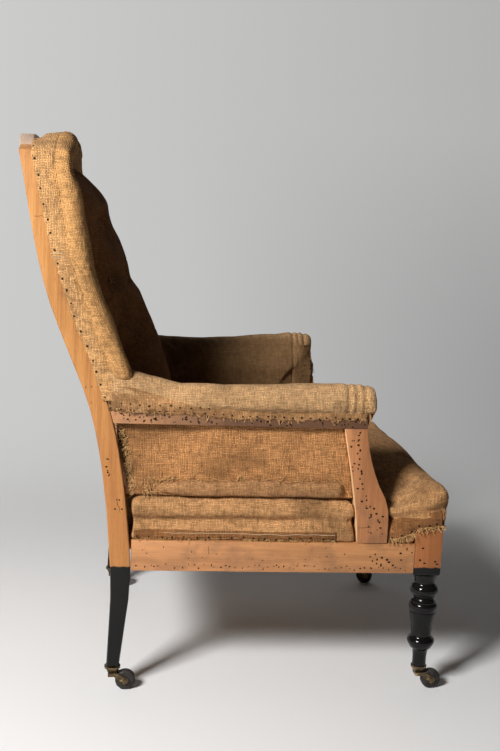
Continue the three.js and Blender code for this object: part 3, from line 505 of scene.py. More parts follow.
@dataclass(frozen=True)
class Beech:
    """Old bare beech, with the black of a turned or tapered leg below a height, and painted light on its rear faces
    where that is set.
    """

    name: str
    grain: Grain
    pale: Colour = (0.45, 0.205, 0.083)
    deep: Colour = (0.26, 0.107, 0.041)
    dirt: Colour = (0.105, 0.055, 0.032)
    soiled: float = 0.25
    black_below: float | None = None
    darkened: Darkening | None = None
    clean_rear: Colour | None = None

    def make(self, shared: Effects) -> Material:
        """Builds the timber's material from the shared effects.

        Args:
            shared: the node groups that the finishes share.

        Returns:
            The new material.
        """
        material, w, shader = start_material(self.name)
        spot = w.add("ShaderNodeTexCoord").outputs["Object"]
        turn = {Grain.ALONG: (0, 0, 0), Grain.ACROSS: (0, 0, math.pi / 2), Grain.UPRIGHT: (0, math.pi / 2, 0)}
        lined = w.mapped(spot, (1, 1, 1), turn[self.grain])
        wood = w.add("ShaderNodeGroup", {"Vector": lined}, node_tree=shared.grain)
        colour = w.mix(wood.outputs["Streak"], self.deep, self.pale)
        colour = w.mix(w.maths("MULTIPLY", wood.outputs["Fleck"], 0.4), colour, self.deep)
        dirt = shared.dirt(w, spot, 13.0, self.soiled)
        colour = w.mix(w.maths("MULTIPLY", dirt, 0.45), colour, self.dirt)
        if self.darkened is not None:
            place = w.add("ShaderNodeSeparateXYZ", {0: spot}).outputs[self.darkened.axis]
            place = w.maths("MULTIPLY_ADD", w.noise(spot, 26.0, 4.0), 0.05, place)
            share = w.spread(place, self.darkened.start, self.darkened.full, 0.0, self.darkened.share)
            colour = w.mix(share, colour, self.darkened.tone)
        # Painted light: faces that look to the rear turn paler, standing in for the lamp's light on the arm support's
        # rear face.
        if self.clean_rear is not None:
            facing = w.add("ShaderNodeTexCoord").outputs["Normal"]
            back = w.add("ShaderNodeSeparateXYZ", {0: facing}).outputs[0]
            colour = w.mix(w.spread(back, -0.6, -0.85, 0.0, 0.85), colour, self.clean_rear)
        rough = w.spread(wood.outputs["Streak"], 0.0, 1.0, 0.62, 0.5)
        height = w.maths("MULTIPLY", wood.outputs["Height"], 0.5)
        if self.black_below is not None:
            upright = w.add("ShaderNodeSeparateXYZ", {0: spot}).outputs[2]
            edge = w.maths("MULTIPLY_ADD", w.noise(spot, 55.0, 3.0), 0.008, upright)
            black = w.spread(edge, self.black_below + 0.003, self.black_below + 0.0055, 1.0, 0.0)
            worn = w.spread(w.noise(spot, 38.0, 6.0, 0.7), 0.66, 0.74)
            lacquer = w.mix(w.maths("MULTIPLY", worn, 0.35), (0.0055, 0.005, 0.005), (0.045, 0.03, 0.02))
            colour = w.mix(black, colour, lacquer)
            gloss = w.spread(w.noise(spot, 24.0, 4.0), 0.35, 0.7, 0.09, 0.24)
            rough = w.add("ShaderNodeMix", {0: black, 2: rough, 3: gloss}, data_type="FLOAT").outputs[0]
            height = w.maths("MULTIPLY", height, w.maths("SUBTRACT", 1.0, w.maths("MULTIPLY", black, 0.8)))
        shine = 0.5 if self.black_below is None else 0.24
        w.feed(shader, {"Base Color": colour, "Roughness": rough, "Specular IOR Level": shine})
        bump(w, height, 0.0006, 0.5, shader)
        return material


@dataclass(frozen=True)
class Metal:
    """A worn metal with tarnish."""

    name: str
    bright: Colour
    tarnish: Colour
    metallic: float = 1.0
    rough: Flat = (0.28, 0.55)

    def make(self, shared: Effects) -> Material:
        """Builds the metal's material from the shared effects.

        Args:
            shared: the node groups that the finishes share.

        Returns:
            The new material.
        """
        material, w, shader = start_material(self.name)
        spot = w.add("ShaderNodeTexCoord").outputs["Object"]
        dirt = shared.dirt(w, spot, 90.0, 0.75)
        w.feed(shader, {
            "Base Color": w.mix(dirt, self.bright, self.tarnish), "Roughness": w.spread(dirt, 0, 1, *self.rough),
            "Metallic": self.metallic, "Specular IOR Level": 0.5 if self.metallic > 0 else 0.2,
        })
        bump(w, w.noise(spot, 320.0, 3.0), 0.0004, 0.4, shader)
        return material


@dataclass(frozen=True)
class Plain:
    """A small or plain surface with a little unevenness, such as twine, tacks or painted board."""

    name: str
    light: Colour
    dark: Colour
    scale: float = 40.0
    rough: float = 0.85

    def make(self) -> Material:
        """Builds the material.

        Returns:
            The new material.
        """
        material, w, shader = start_material(self.name)
        spot = w.add("ShaderNodeTexCoord").outputs["Object"]
        patch = w.noise(spot, self.scale, 3.0)
        colour = w.mix(w.spread(patch, 0.3, 0.7), self.dark, self.light)
        w.feed(shader, {"Base Color": colour, "Roughness": self.rough, "Specular IOR Level": 0.12})
        bump(w, patch, 0.0003, 0.3, shader)
        return material


@dataclass
class Finishes:
    """Every finish on the chair."""

    shared: Effects = field(default_factory=Effects)
    made: dict[str, Material] = field(default_factory=dict)

    def build(self) -> None:
        """Makes each material once."""
        cloths = (
            Hessian("roll_hessian", stained=0.24),
            Hessian("flange_hessian", pale=(0.8, 0.44, 0.18), deep=(0.25, 0.135, 0.055), stained=0.24),
            # arm cloth with painted shade on the inner faces of the arms
            Hessian("arm_hessian", pale=(0.78, 0.46, 0.215), deep=(0.33, 0.2, 0.095), stained=0.28, dark_within=0.25),
            Hessian(
                "panel_hessian", pale=(0.71, 0.338, 0.127), deep=(0.24, 0.106, 0.04), stained=0.5, pitch=0.0031,
                patchy=0.22,
            ),
            Hessian("seat_hessian", pale=(0.76, 0.4, 0.168), deep=(0.28, 0.144, 0.058), stained=0.4),
            Hessian("corner_hessian", pale=(0.4, 0.17, 0.06), deep=(0.14, 0.06, 0.021), stained=0.5),
            # darker copy of the seat cloth: painted shade for the back pad, which faces away from the lamp
            Hessian("back_hessian", pale=(0.38, 0.152, 0.043), deep=(0.14, 0.058, 0.016), stained=0.42),
            Hessian("worn_hessian", pale=(0.8, 0.43, 0.185), deep=(0.32, 0.165, 0.068), stained=0.5),
            Hessian("hem_hessian", pale=(0.6, 0.305, 0.13), deep=(0.24, 0.122, 0.053), stained=0.38),
            Hessian("webbing", pale=(0.56, 0.39, 0.21), deep=(0.34, 0.225, 0.11), stained=0.3, pitch=0.0018),
        )
        timbers = (
            Beech(
                "post_beech", Grain.UPRIGHT, pale=(0.565, 0.268, 0.082), deep=(0.275, 0.106, 0.03), black_below=0.243,
                # Painted shade: the posts darken towards the bottom, standing in for the lamp's light falling off lower
                # down.
                darkened=Darkening(2, 0.66, 0.42, 0.4, (0.36, 0.13, 0.043)),
            ),
            Beech(
                "leg_beech", Grain.UPRIGHT, pale=(0.39, 0.146, 0.05), deep=(0.23, 0.08, 0.026), soiled=0.45,
                black_below=0.2475,
            ),
            Beech(
                "upright_beech", Grain.UPRIGHT, pale=(0.475, 0.196, 0.07), deep=(0.25, 0.095, 0.032), soiled=0.4,
                # painted light on the rear faces of the arm supports
                clean_rear=(0.78, 0.5, 0.25),
            ),
            Beech("rail_beech", Grain.ALONG, pale=(0.575, 0.262, 0.098), deep=(0.3, 0.125, 0.045), soiled=0.4),
            Beech(
                "arm_beech", Grain.ALONG, pale=(0.52, 0.255, 0.105), deep=(0.29, 0.125, 0.05), soiled=0.55,
                darkened=Darkening(0, -0.14, 0.0, 0.9, (0.1, 0.041, 0.017)),
            ),
            Beech("cross_beech", Grain.ACROSS, pale=(0.52, 0.31, 0.18), deep=(0.35, 0.185, 0.095)),
            Beech("top_beech", Grain.ACROSS, pale=(0.56, 0.4, 0.285), deep=(0.4, 0.26, 0.175)),
        )
        metals = (
            Metal("brass", (0.5, 0.36, 0.17), (0.16, 0.115, 0.07)),
            Metal("spring_steel", (0.32, 0.3, 0.28), (0.16, 0.08, 0.045)),
            Metal("caster_black", (0.012, 0.011, 0.011), (0.035, 0.03, 0.027), 0.0, (0.35, 0.6)),
        )
        for finish in (*cloths, *timbers, *metals):
            self.made[finish.name] = finish.make(self.shared)
        plains = (
            Plain("twine", (0.6, 0.36, 0.15), (0.34, 0.19, 0.075), 300.0),
            Plain("pale_thread", (0.64, 0.51, 0.34), (0.46, 0.34, 0.2), 300.0),
            Plain("tack_iron", (0.045, 0.022, 0.013), (0.014, 0.008, 0.006), 500.0, 0.8),
            Plain("old_hole", (0.05, 0.022, 0.011), (0.014, 0.007, 0.004), 500.0, 0.9),
        )
        for finish in plains:
            self.made[finish.name] = finish.make()

    def __getitem__(self, name: str) -> Material:
        """The finish of that name."""
        return self.made[name]


@dataclass(frozen=True)
class Stuffing:
    """How a padded piece is filled: its solid is remeshed, swollen by pressure and held to a cap."""

    voxel: float = 0.006
    pressure: float = 5.0
    cap: float = 0.007
    shrink: float = 0.006
    last_frame: int = 20

    def remesh(self, node: str) -> Object:
        """A working object with the node's solid in even quads.

        Args:
            node: name of the padded frame node.

        Returns:
            The object, which the caller removes.
        """
        bm = node_copy(node)
        rough = piece(f"{node}_blank", bm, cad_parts[node].data.materials[0])
        mod = rough.modifiers.new("even", "REMESH")
        mod.mode = "VOXEL"
        mod.voxel_size = self.voxel
        even = evaluated(rough)
        discard(rough)
        obj = bpy.data.objects.new(f"{node}_blank", even)
        bpy.context.scene.collection.objects.link(obj)
        return obj

    def fill(self, node: str, held: Callable[[Vector, Vector], bool]) -> bmesh.types.BMesh:
        """Swells a node's solid into a stuffed form.

        Args:
            node: name of the padded frame node.
            held: says from a point and its normal whether the cloth is held there.

        Returns:
            The swollen form.
        """
        obj = self.remesh(node)
        bm = bmesh.new()
        bm.from_mesh(obj.data)
        soften(bm, bm.verts)
        bm.normal_update()
        fixed = [held(v.co, v.normal) for v in bm.verts]
        for v, keep in zip(bm.verts, fixed):
            if not keep:
                v.co -= v.normal * self.shrink
        bm.to_mesh(obj.data)
        start = [v.co.copy() for v in bm.verts]
        self.press(obj, bm, fixed, start)
        discard(obj)
        return bm

    def press(self, obj: Object, bm: bmesh.types.BMesh, fixed: Sequence[bool], rest: Sequence[Vector]) -> None:
        """Runs the cloth under pressure and puts the result in the bmesh.

        Args:
            obj: the working object.
            bm: the form to change.
            fixed: which points are held.
            rest: where each point starts, from which it may not stray past the cap.
        """
        pins = obj.vertex_groups.new(name="held")
        pins.add([i for i, keep in enumerate(fixed) if keep], 1.0, "REPLACE")
        cloth = obj.modifiers.new("cloth", "CLOTH")
        cloth.settings.quality = 4
        cloth.settings.use_pressure = True
        cloth.settings.uniform_pressure_force = self.pressure
        cloth.settings.vertex_group_mass = "held"
        cloth.settings.effector_weights.gravity = 0.0
        cloth.collision_settings.use_collision = False
        cloth.collision_settings.use_self_collision = False
        scene = bpy.context.scene
        for number in range(1, self.last_frame + 1):
            scene.frame_set(number)
        swollen = evaluated(obj)
        for v, grown, start in zip(bm.verts, swollen.vertices, rest):
            move = grown.co - start
            if move.length > self.cap:
                move *= self.cap / move.length
            v.co = start + move
        bpy.data.meshes.remove(swollen)
        scene.frame_set(1)
        bm.normal_update()


def soften(bm: bmesh.types.BMesh, verts: Sequence[bmesh.types.BMVert]) -> None:
    """Draws some points of a form half way to the middle of their neighbours."""
    bmesh.ops.smooth_vert(bm, verts=verts, factor=0.5, use_axis_x=True, use_axis_y=True, use_axis_z=True)


def lumps(bm: bmesh.types.BMesh, size: float, amount: float, seed: float) -> None:
    """Pushes a form in and out with soft lumps.

    Args:
        bm: the form.
        size: how far apart the lumps are.
        amount: how high they are.
        seed: sets one piece's lumps apart from another's.
    """
    bm.normal_update()
    moves = [v.normal * amount * noise.noise(v.co / size + Vector((seed, seed * 0.7, 0))) for v in bm.verts]
    for v, move in zip(bm.verts, moves):
        v.co += move


def furrow(bm: bmesh.types.BMesh, depth: Callable[[Vector, Vector], float]) -> None:
    """Presses creases into a form along its normals.

    Args:
        bm: the form.
        depth: how deep the crease is at a point with a normal.
    """
    bm.normal_update()
    moves = [v.normal * -depth(v.co, v.normal) for v in bm.verts]
    for v, move in zip(bm.verts, moves):
        v.co += move


def ridge(distance: float, width: float) -> float:
    """A soft bell across a line: 1 on it and falling away at the width."""
    return math.exp(-((distance / width) ** 2))


@dataclass
class SideCamera:
    """The camera, at the angle from which the chair is seen side-on."""

    place: tuple[float, float, float] = (-0.23459, -2.174, 0.925)
    yaw: float = math.radians(7.51)
    pitch: float = math.radians(9.74)
    roll: float = math.radians(2.47)
    focal_pixels: float = 1090.7
    image_height: int = 751
    sensor_height: float = 24.0

    def build(self) -> None:
        """Makes the camera and gives it to the scene."""
        ahead = Vector((
            math.sin(self.yaw) * math.cos(self.pitch), math.cos(self.yaw) * math.cos(self.pitch), -math.sin(self.pitch)
        ))
        level = Vector((math.cos(self.yaw), -math.sin(self.yaw), 0))
        above = level.cross(ahead)
        right = level * math.cos(self.roll) + above * math.sin(self.roll)
        up = -level * math.sin(self.roll) + above * math.cos(self.roll)
        data = bpy.data.cameras.new("camera")
        data.sensor_fit = "VERTICAL"
        data.sensor_height = self.sensor_height
        data.lens = self.focal_pixels / self.image_height * self.sensor_height
        camera = bpy.data.objects.new("camera", data)
        matrix = Matrix((right, up, -ahead)).transposed().to_4x4()
        matrix.translation = Vector(self.place)
        camera.matrix_world = matrix
        bpy.context.scene.collection.objects.link(camera)
        bpy.context.scene.camera = camera


@dataclass
class Studio:
    """Pale sweep of paper under and behind the chair, and soft light from behind its near side."""

    sweep_near: float = -6.0
    sweep_far: float = 2.6
    sweep_radius: float = 1.6
    sweep_top: float = 5.0
    sweep_width: float = 7.0
    key_place: tuple[float, float, float] = (-1.65, -2.05, 2.1)
    key_aim: tuple[float, float, float] = (0.0, 0.0, 0.45)
    key_size: float = 0.7
    key_power: float = 136.0
    ambient: float = 0.022
    beyond: Colour = (0.5, 0.5, 0.495)

    def paper(self) -> Material:
        """The sweep's pale paper, which shows camera rays a painted tone behind the chair: painted light falling off to
        the right and a painted shadow low on the right.

        Returns:
            The paper's material.
        """
        material, w, shader = start_material("studio_paper")
        spot = w.add("ShaderNodeTexCoord").outputs["Object"]
        place = w.add("ShaderNodeSeparateXYZ", {0: spot}).outputs
        w.feed(shader, {"Base Color": (0.78, 0.78, 0.785, 1), "Roughness": 0.9, "Specular IOR Level": 0.2})
        path = w.add("ShaderNodeLightPath").outputs
        mirrored = w.maths("MAXIMUM", path["Is Glossy Ray"], path["Is Transmission Ray"])
        seen = w.maths("MAXIMUM", path["Is Camera Ray"], mirrored)
        far = w.add("ShaderNodeMapRange", {0: place[1], 1: 0.3, 2: 1.7}, interpolation_type="SMOOTHSTEP").outputs[0]
        # Painted light and shadow on the backdrop: paler to the left and darker to the right, with a painted shadow low
        # on the right.
        right = w.spread(place[0], -1.1, 1.4)
        low = w.maths("MULTIPLY", w.spread(place[2], 1.2, -0.1), w.spread(place[0], 0.1, 1.3))
        tone = w.mix(right, (0.63, 0.63, 0.625), (0.45, 0.45, 0.445))
        tone = w.mix(w.maths("MULTIPLY", low, 0.75), tone, (0.24, 0.24, 0.245))
        tone = w.mix(w.spread(place[1], -0.3, 0.3), self.beyond, tone)
        away = w.add("ShaderNodeVectorMath", {0: spot}, operation="LENGTH").outputs["Value"]
        round_ = w.add("ShaderNodeMapRange", {0: away, 1: 1.9, 2: 4.2}, interpolation_type="SMOOTHSTEP").outputs[0]
        glow = w.add("ShaderNodeEmission", {"Color": tone, "Strength": 1.0})
        share = w.maths("MULTIPLY", w.maths("MAXIMUM", far, round_), seen)
        both = w.add("ShaderNodeMixShader", {0: share, 1: shader.outputs[0], 2: glow.outputs[0]})
        w.feed(material.node_tree.nodes["Material Output"], {0: both.outputs[0]})
        return material

    def build(self) -> None:
        """Lays the sweep, hangs the lamp and sets the world's light."""
        flat = self.sweep_far - self.sweep_radius - self.sweep_near
        bend = math.pi / 2 * self.sweep_radius
        length = flat + bend + self.sweep_top
        bm = bmesh.new()
        for v, across, up in grid(bm, 8, 120):
            s = up * length
            turn = clamp((s - flat) / bend) * math.pi / 2
            y = self.sweep_near + min(s, flat) + self.sweep_radius * math.sin(turn)
            z = self.sweep_radius * (1 - math.cos(turn)) + max(0.0, s - flat - bend)
            v.co = Vector(((across - 0.5) * 2 * self.sweep_width, y, z))
        piece("studio_sweep", bm, self.paper())
        lamp = bpy.data.lights.new("key", "AREA")
        lamp.energy = self.key_power
        lamp.size = self.key_size
        lamp.color = (1.0, 0.99, 0.975)
        key = bpy.data.objects.new("key", lamp)
        key.location = self.key_place
        key.rotation_euler = (Vector(self.key_aim) - key.location).to_track_quat("-Z", "Y").to_euler()
        bpy.context.scene.collection.objects.link(key)
        world = bpy.data.worlds.new("studio")
        world.use_nodes = True
        w = Wiring(world.node_tree)
        sky = world.node_tree.nodes["Background"]
        w.feed(sky, {0: (1.0, 0.97, 0.93, 1), 1: self.ambient})
        beyond = w.add("ShaderNodeBackground", {"Color": (*self.beyond, 1), "Strength": 1.0})
        seen = w.add("ShaderNodeLightPath").outputs["Is Camera Ray"]
        either = w.add("ShaderNodeMixShader", {0: seen, 1: sky.outputs[0], 2: beyond.outputs[0]})
        w.feed(world.node_tree.nodes["World Output"], {0: either.outputs[0]})
        bpy.context.scene.world = world
        bpy.context.scene.view_settings.view_transform = "Standard"


def round_off(bm: bmesh.types.BMesh, edges: Sequence[bmesh.types.BMEdge], width: float, segments: int,
              clamp_overlap: bool = False) -> None:
    """Rounds some edges of a form.

    Args:
        bm: the form.
        edges: the edges to round.
        width: how much is taken off each side.
        segments: faces over the round.
        clamp_overlap: whether neighbouring rounds are kept apart.
    """
    bmesh.ops.bevel(
        bm, geom=edges, offset=width, offset_type="OFFSET", affect="EDGES", segments=segments, profile=0.5,
        material=-1, clamp_overlap=clamp_overlap,
    )


def eased(node: str, body: str, material: Material, width: float = 0.0012) -> Object:
    """Makes a timber or metal node again with softened arrises.

    Args:
        node: the frame node that the piece stands for.
        body: the body that it moves with.
        material: its finish.
        width: how much each arris is taken off; none for a piece that is only smoothed.

    Returns:
        The new piece.
    """
    bm = node_copy(node)
    if width > 0:
        bmesh.ops.dissolve_limit(bm, angle_limit=math.radians(1.5), verts=bm.verts, edges=bm.edges)
        arrises = [e for e in bm.edges if len(e.link_faces) == 2 and e.calc_face_angle(0) > math.radians(28)]
        round_off(bm, arrises, width, 2, True)
        bmesh.ops.triangulate(bm, faces=[f for f in bm.faces if len(f.verts) > 4])
    obj = piece(f"{node}_eased", bm, material)
    obj.data.set_sharp_from_angle(angle=math.radians(32))
    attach(obj, body)
    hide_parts(node)
    return obj


@dataclass
class TimberFrame:
    """Rails, posts, arms and braces of bare beech."""

    arris: float = 0.0012
    made: dict[str, Object] = field(default_factory=dict)

    def build(self, finishes: Finishes) -> None:
        """Makes every timber again with eased arrises.

        Args:
            finishes: the chair's finishes.
        """
        plan = {
            "post_beech": ["rear_post"], "upright_beech": ["arm_support"],
            "rail_beech": ["side_seat_rail", "arm_tack_rail", "brace_front", "brace_rear"], "arm_beech": ["arm_rail"],
        }
        for finish, stems in plan.items():
            for stem in stems:
                for side in Side:
                    node = f"{stem}_{side.word}"
                    self.made[node] = eased(node, "frame", finishes[finish], self.arris)
        for node in ("front_seat_rail", "rear_seat_rail", "lower_back_rail"):
            self.made[node] = eased(node, "frame", finishes["cross_beech"], self.arris)
        self.made["top_rail"] = eased("top_rail", "frame", finishes["top_beech"], self.arris)


@dataclass
class FrontLeg:
    """One front leg: a square block over a turned foot of beads and coves."""

    side: Side
    axis: Flat = (0.36271, 0.279)
    block_x: Flat = (0.33241, 0.38341)
    block_half: float = 0.0255
    block_z: Flat = (0.229, 0.3295)
    scoop: float = 0.007
    arris: float = 0.0012
    steps: int = 48
    turned: tuple[Flat, ...] = (
        (0.0460, 0.0128), (0.0643, 0.0130), (0.0780, 0.0146), (0.0815, 0.0172), (0.0832, 0.0203), (0.0868, 0.0221),
        (0.0920, 0.0250), (0.0962, 0.0258), (0.1000, 0.0247), (0.1032, 0.0217), (0.1052, 0.0196), (0.1085, 0.0186),
        (0.1302, 0.0208), (0.1503, 0.0246), (0.1545, 0.0254), (0.1562, 0.0247), (0.1582, 0.0256), (0.1628, 0.0268),
        (0.1675, 0.0268), (0.1712, 0.0256), (0.1735, 0.0234), (0.1754, 0.0234), (0.1778, 0.0204), (0.1812, 0.0189),
        (0.1845, 0.0199), (0.1862, 0.0216), (0.1882, 0.0216), (0.1906, 0.0246), (0.1945, 0.0264), (0.1985, 0.0267),
        (0.2025, 0.0257), (0.2065, 0.0231), (0.2092, 0.0204), (0.2125, 0.0191), (0.2180, 0.0199), (0.2235, 0.0220),
        (0.2300, 0.0246),
    )

    def build(self, finishes: Finishes) -> Object:
        """Makes the leg.

        Args:
            finishes: the chair's finishes.

        Returns:
            The finished leg.
        """
        bm = bmesh.new()
        size = (self.block_x[1] - self.block_x[0], 2 * self.block_half, self.block_z[1] - self.block_z[0])
        middle = (sum(self.block_x) / 2, self.side.value * self.axis[1], sum(self.block_z) / 2)
        bmesh.ops.create_cube(bm, size=1.0, matrix=Matrix.Translation(middle) @ Matrix.Diagonal((*size, 1)))
        foot = [e for e in bm.edges if all(v.co.z < self.block_z[0] + 0.001 for v in e.verts)]
        round_off(bm, foot, self.scoop, 5)
        arrises = [e for e in bm.edges if e.calc_face_angle(0) > math.radians(60)]
        round_off(bm, arrises, self.arris, 2)
        centre = Vector((self.axis[0], self.side.value * self.axis[1], 0))
        line = [bm.verts.new(centre + Vector((r, 0, z))) for z, r in self.turned]
        edges = [bm.edges.new(pair) for pair in zip(line, line[1:])]
        bmesh.ops.spin(
            bm, geom=[*line, *edges], cent=centre, axis=(0, 0, 1), angle=2 * math.pi, steps=self.steps, use_merge=True
        )
        rim = [e for e in bm.edges if e.is_boundary and e.verts[0].co.z < 0.05]
        bmesh.ops.contextual_create(bm, geom=rim)
        bmesh.ops.recalc_face_normals(bm, faces=bm.faces)
        node = f"front_leg_{self.side.word}"
        obj = piece(f"{node}_turned", bm, finishes["leg_beech"])
        obj.data.set_sharp_from_angle(angle=math.radians(38))
        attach(obj, "frame")
        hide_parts(node)
        return obj


@dataclass
class Casters:
    """Brass sockets and horns with black wheels under the four legs."""

    places: tuple[str, ...] = ("front_right", "front_left", "rear_right", "rear_left")

    def build(self, finishes: Finishes) -> None:
        """Makes each caster's parts again with smooth rounds.

        Args:
            finishes: the chair's finishes.
        """
        for place in self.places:
            parts = {"socket": "frame", "horn": f"swivel_{place}", "axle": f"swivel_{place}", "wheel": f"wheel_{place}"}
            for part, body in parts.items():
                finish = "caster_black" if part == "wheel" else "brass"
                eased(f"caster_{part}_{place}", body, finishes[finish], 0.0)


@dataclass
class Springs:
    """Waisted coil springs on the seat webbing."""

    def dress(self, finishes: Finishes) -> None:
        """Gives the springs their steel.

        Args:
            finishes: the chair's finishes.
        """
        for name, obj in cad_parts.items():
            if name.startswith("spring_"):
                obj.data.materials.clear()
                obj.data.materials.append(finishes["spring_steel"])


def stuffed(name: str, node: str, bm: bmesh.types.BMesh, material: Material,
            lean: Callable[[float], float] | None = None) -> Object:
    """Finishes a padded piece from its shaped form.

    Args:
        name: the piece's name.
        node: the frame node that it stands for.
        bm: its form.
        material: its cloth.
        lean: how its weave leans with height.

    Returns:
        The finished piece.
    """
    obj = piece(name, bm, material)
    lay_weave(obj.data, lean)
    soft = obj.modifiers.new("soft", "SUBSURF")
    soft.levels = soft.render_levels = 1
    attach(obj, "frame")
    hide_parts(node)
    return obj


@dataclass
class BackRoll:
    """Stitched edge roll round the sides and top of the back."""

    stuffing: Stuffing = Stuffing(voxel=0.005, cap=0.007, shrink=0.0005)
    post_front: tuple[Flat, ...] = (
        (0.5, -0.221), (0.6, -0.258), (0.7, -0.297), (0.8, -0.332), (0.9, -0.349), (0.98, -0.362)
    )
    stitch_share: float = 0.026
    foot_from: float = 0.655
    foot_drop: float = 0.020
    swell: float = 0.004
    swell_at: float = 0.055
    corner: Flat = (0.93, 0.2)
    corner_passes: int = 14
    top_sunk: float = 0.010
    top_level: float = 0.945

    def build(self, finishes: Finishes) -> Object:
        """Makes the roll.

        Args:
            finishes: the chair's finishes.

        Returns:
            The finished roll.
        """
        bm = self.stuffing.fill("back_edge_roll", lambda co, n: n.x < -0.75)
        for v in bm.verts:
            if abs(v.co.y) > 0.27:
                off = v.co.x - self.lean(v.co.z) - self.swell_at
                v.co.y += math.copysign(self.swell, v.co.y) * ridge(off, 0.018)
        corners = [v for v in bm.verts if v.co.z > self.corner[0] and abs(v.co.y) > self.corner[1]]
        for _ in range(self.corner_passes):
            soften(bm, corners)
        lumps(bm, 0.07, 0.004, 3.1)
        furrow(bm, self.stitch)
        for v in bm.verts:
            front = clamp((v.co.x - self.lean(v.co.z) - 0.045) / 0.02)
            v.co.x -= self.top_sunk * ridge(v.co.z - self.top_level, 0.028) * front
        self.settle(bm)
        return stuffed("back_roll", "back_edge_roll", bm, finishes["roll_hessian"], self.lean)

    def settle(self, bm: bmesh.types.BMesh) -> None:
        """Lets the two feet of the roll down on to the arms, along the lean of the back.

        Args:
            bm: the roll's form.
        """
        for v in bm.verts:
            drop = self.foot_drop * clamp((self.foot_from - v.co.z) / 0.05) ** 1.5
            v.co.x += self.lean(v.co.z - drop) - self.lean(v.co.z)
            v.co.z -= drop

    def lean(self, z: float) -> float:
        """How far back the front of the posts is at a height."""
        return along(self.post_front, z)

    def stitch(self, co: Vector, normal: Vector) -> float:
        """Depth of the stitched furrow beside the tacked edge."""
        off = co.x - self.lean(co.z) - self.stitch_share
        return 0.0045 * ridge(off, 0.005) if abs(normal.y) > 0.4 or normal.z > 0.4 else 0.0


@dataclass
class BackPad:
    """Deep back pad with two rows of tufts."""

    stuffing: Stuffing = Stuffing(voxel=0.007, cap=0.010, shrink=0.001)
    sunk: float = 0.0175
    spread_low: float = 0.006
    spread_below: float = 0.68
    spread_outside: float = 0.15

    def build(self, finishes: Finishes) -> Object:
        """Makes the pad.

        Args:
            finishes: the chair's finishes.

        Returns:
            The finished pad.
        """
        bm = self.stuffing.fill("back_pad", lambda co, n: n.x < -0.6 or n.z < -0.6)
        bm.normal_update()
        for v, share in [(v, clamp(v.normal.x * 1.5)) for v in bm.verts]:
            v.co.x -= self.sunk * share
            low = clamp((self.spread_below - v.co.z) / 0.06) * clamp((abs(v.co.y) - self.spread_outside) / 0.05)
            v.co.y += math.copysign(self.spread_low * low, v.co.y)
        lumps(bm, 0.09, 0.004, 8.2)
        return stuffed("back_cushion", "back_pad", bm, finishes["back_hessian"])


@dataclass
class SeatPad:
    """Seat pad over the springs, with a creased, tacked border."""

    stuffing: Stuffing = Stuffing(voxel=0.007, cap=0.008, shrink=0.0)
    crease_line: tuple[Flat, ...] = (
        (-0.19, 0.329), (0.2, 0.331), (0.281, 0.338), (0.318, 0.344), (0.355, 0.351), (0.386, 0.363)
    )
    side_from: float = 0.25
    side_top: float = 0.374
    side_reach: float = 0.004
    nose_from: float = 0.34
    nose_reach: float = 0.0075
    nose_level: float = 0.357

    def build(self, finishes: Finishes) -> Object:
        """Makes the pad.

        Args:
            finishes: the chair's finishes.

        Returns:
            The finished pad.
        """
        bm = self.stuffing.fill("seat_pad", lambda co, n: n.z < -0.6)
        lumps(bm, 0.08, 0.004, 5.5)
        furrow(bm, self.crease)
        for v in bm.verts:
            if abs(v.co.y) > self.side_from and v.co.z < self.side_top and v.co.x < 0.2:
                ahead, behind = clamp((v.co.x - 0.13) / 0.05), clamp((-0.13 - v.co.x) / 0.05)
                v.co.x += self.side_reach * ahead - self.side_reach * behind
            elif v.co.x > self.nose_from:
                front = clamp((v.co.x - self.nose_from) / 0.03)
                v.co.x += self.nose_reach * front * ridge(v.co.z - self.nose_level, 0.017)
        return stuffed("seat_stuffing", "seat_pad", bm, finishes["seat_hessian"])

    def crease(self, co: Vector, normal: Vector) -> float:
        """Depth of the crease round the sides above the tacked border.

        Args:
            co: a point of the pad.
            normal: outwards there.

        Returns:
            The depth, below zero where it swells.
        """
        if abs(normal.y) < 0.3 or abs(co.y) < self.side_from:
            return 0.0
        level = along(self.crease_line, co.x) + 0.003 * noise.noise(Vector((co.x * 25, co.y * 3, 0)))
        swell = 0.004 * ridge(co.z - level - 0.02, 0.012)
        return 0.008 * ridge(co.z - level, 0.0055) - swell


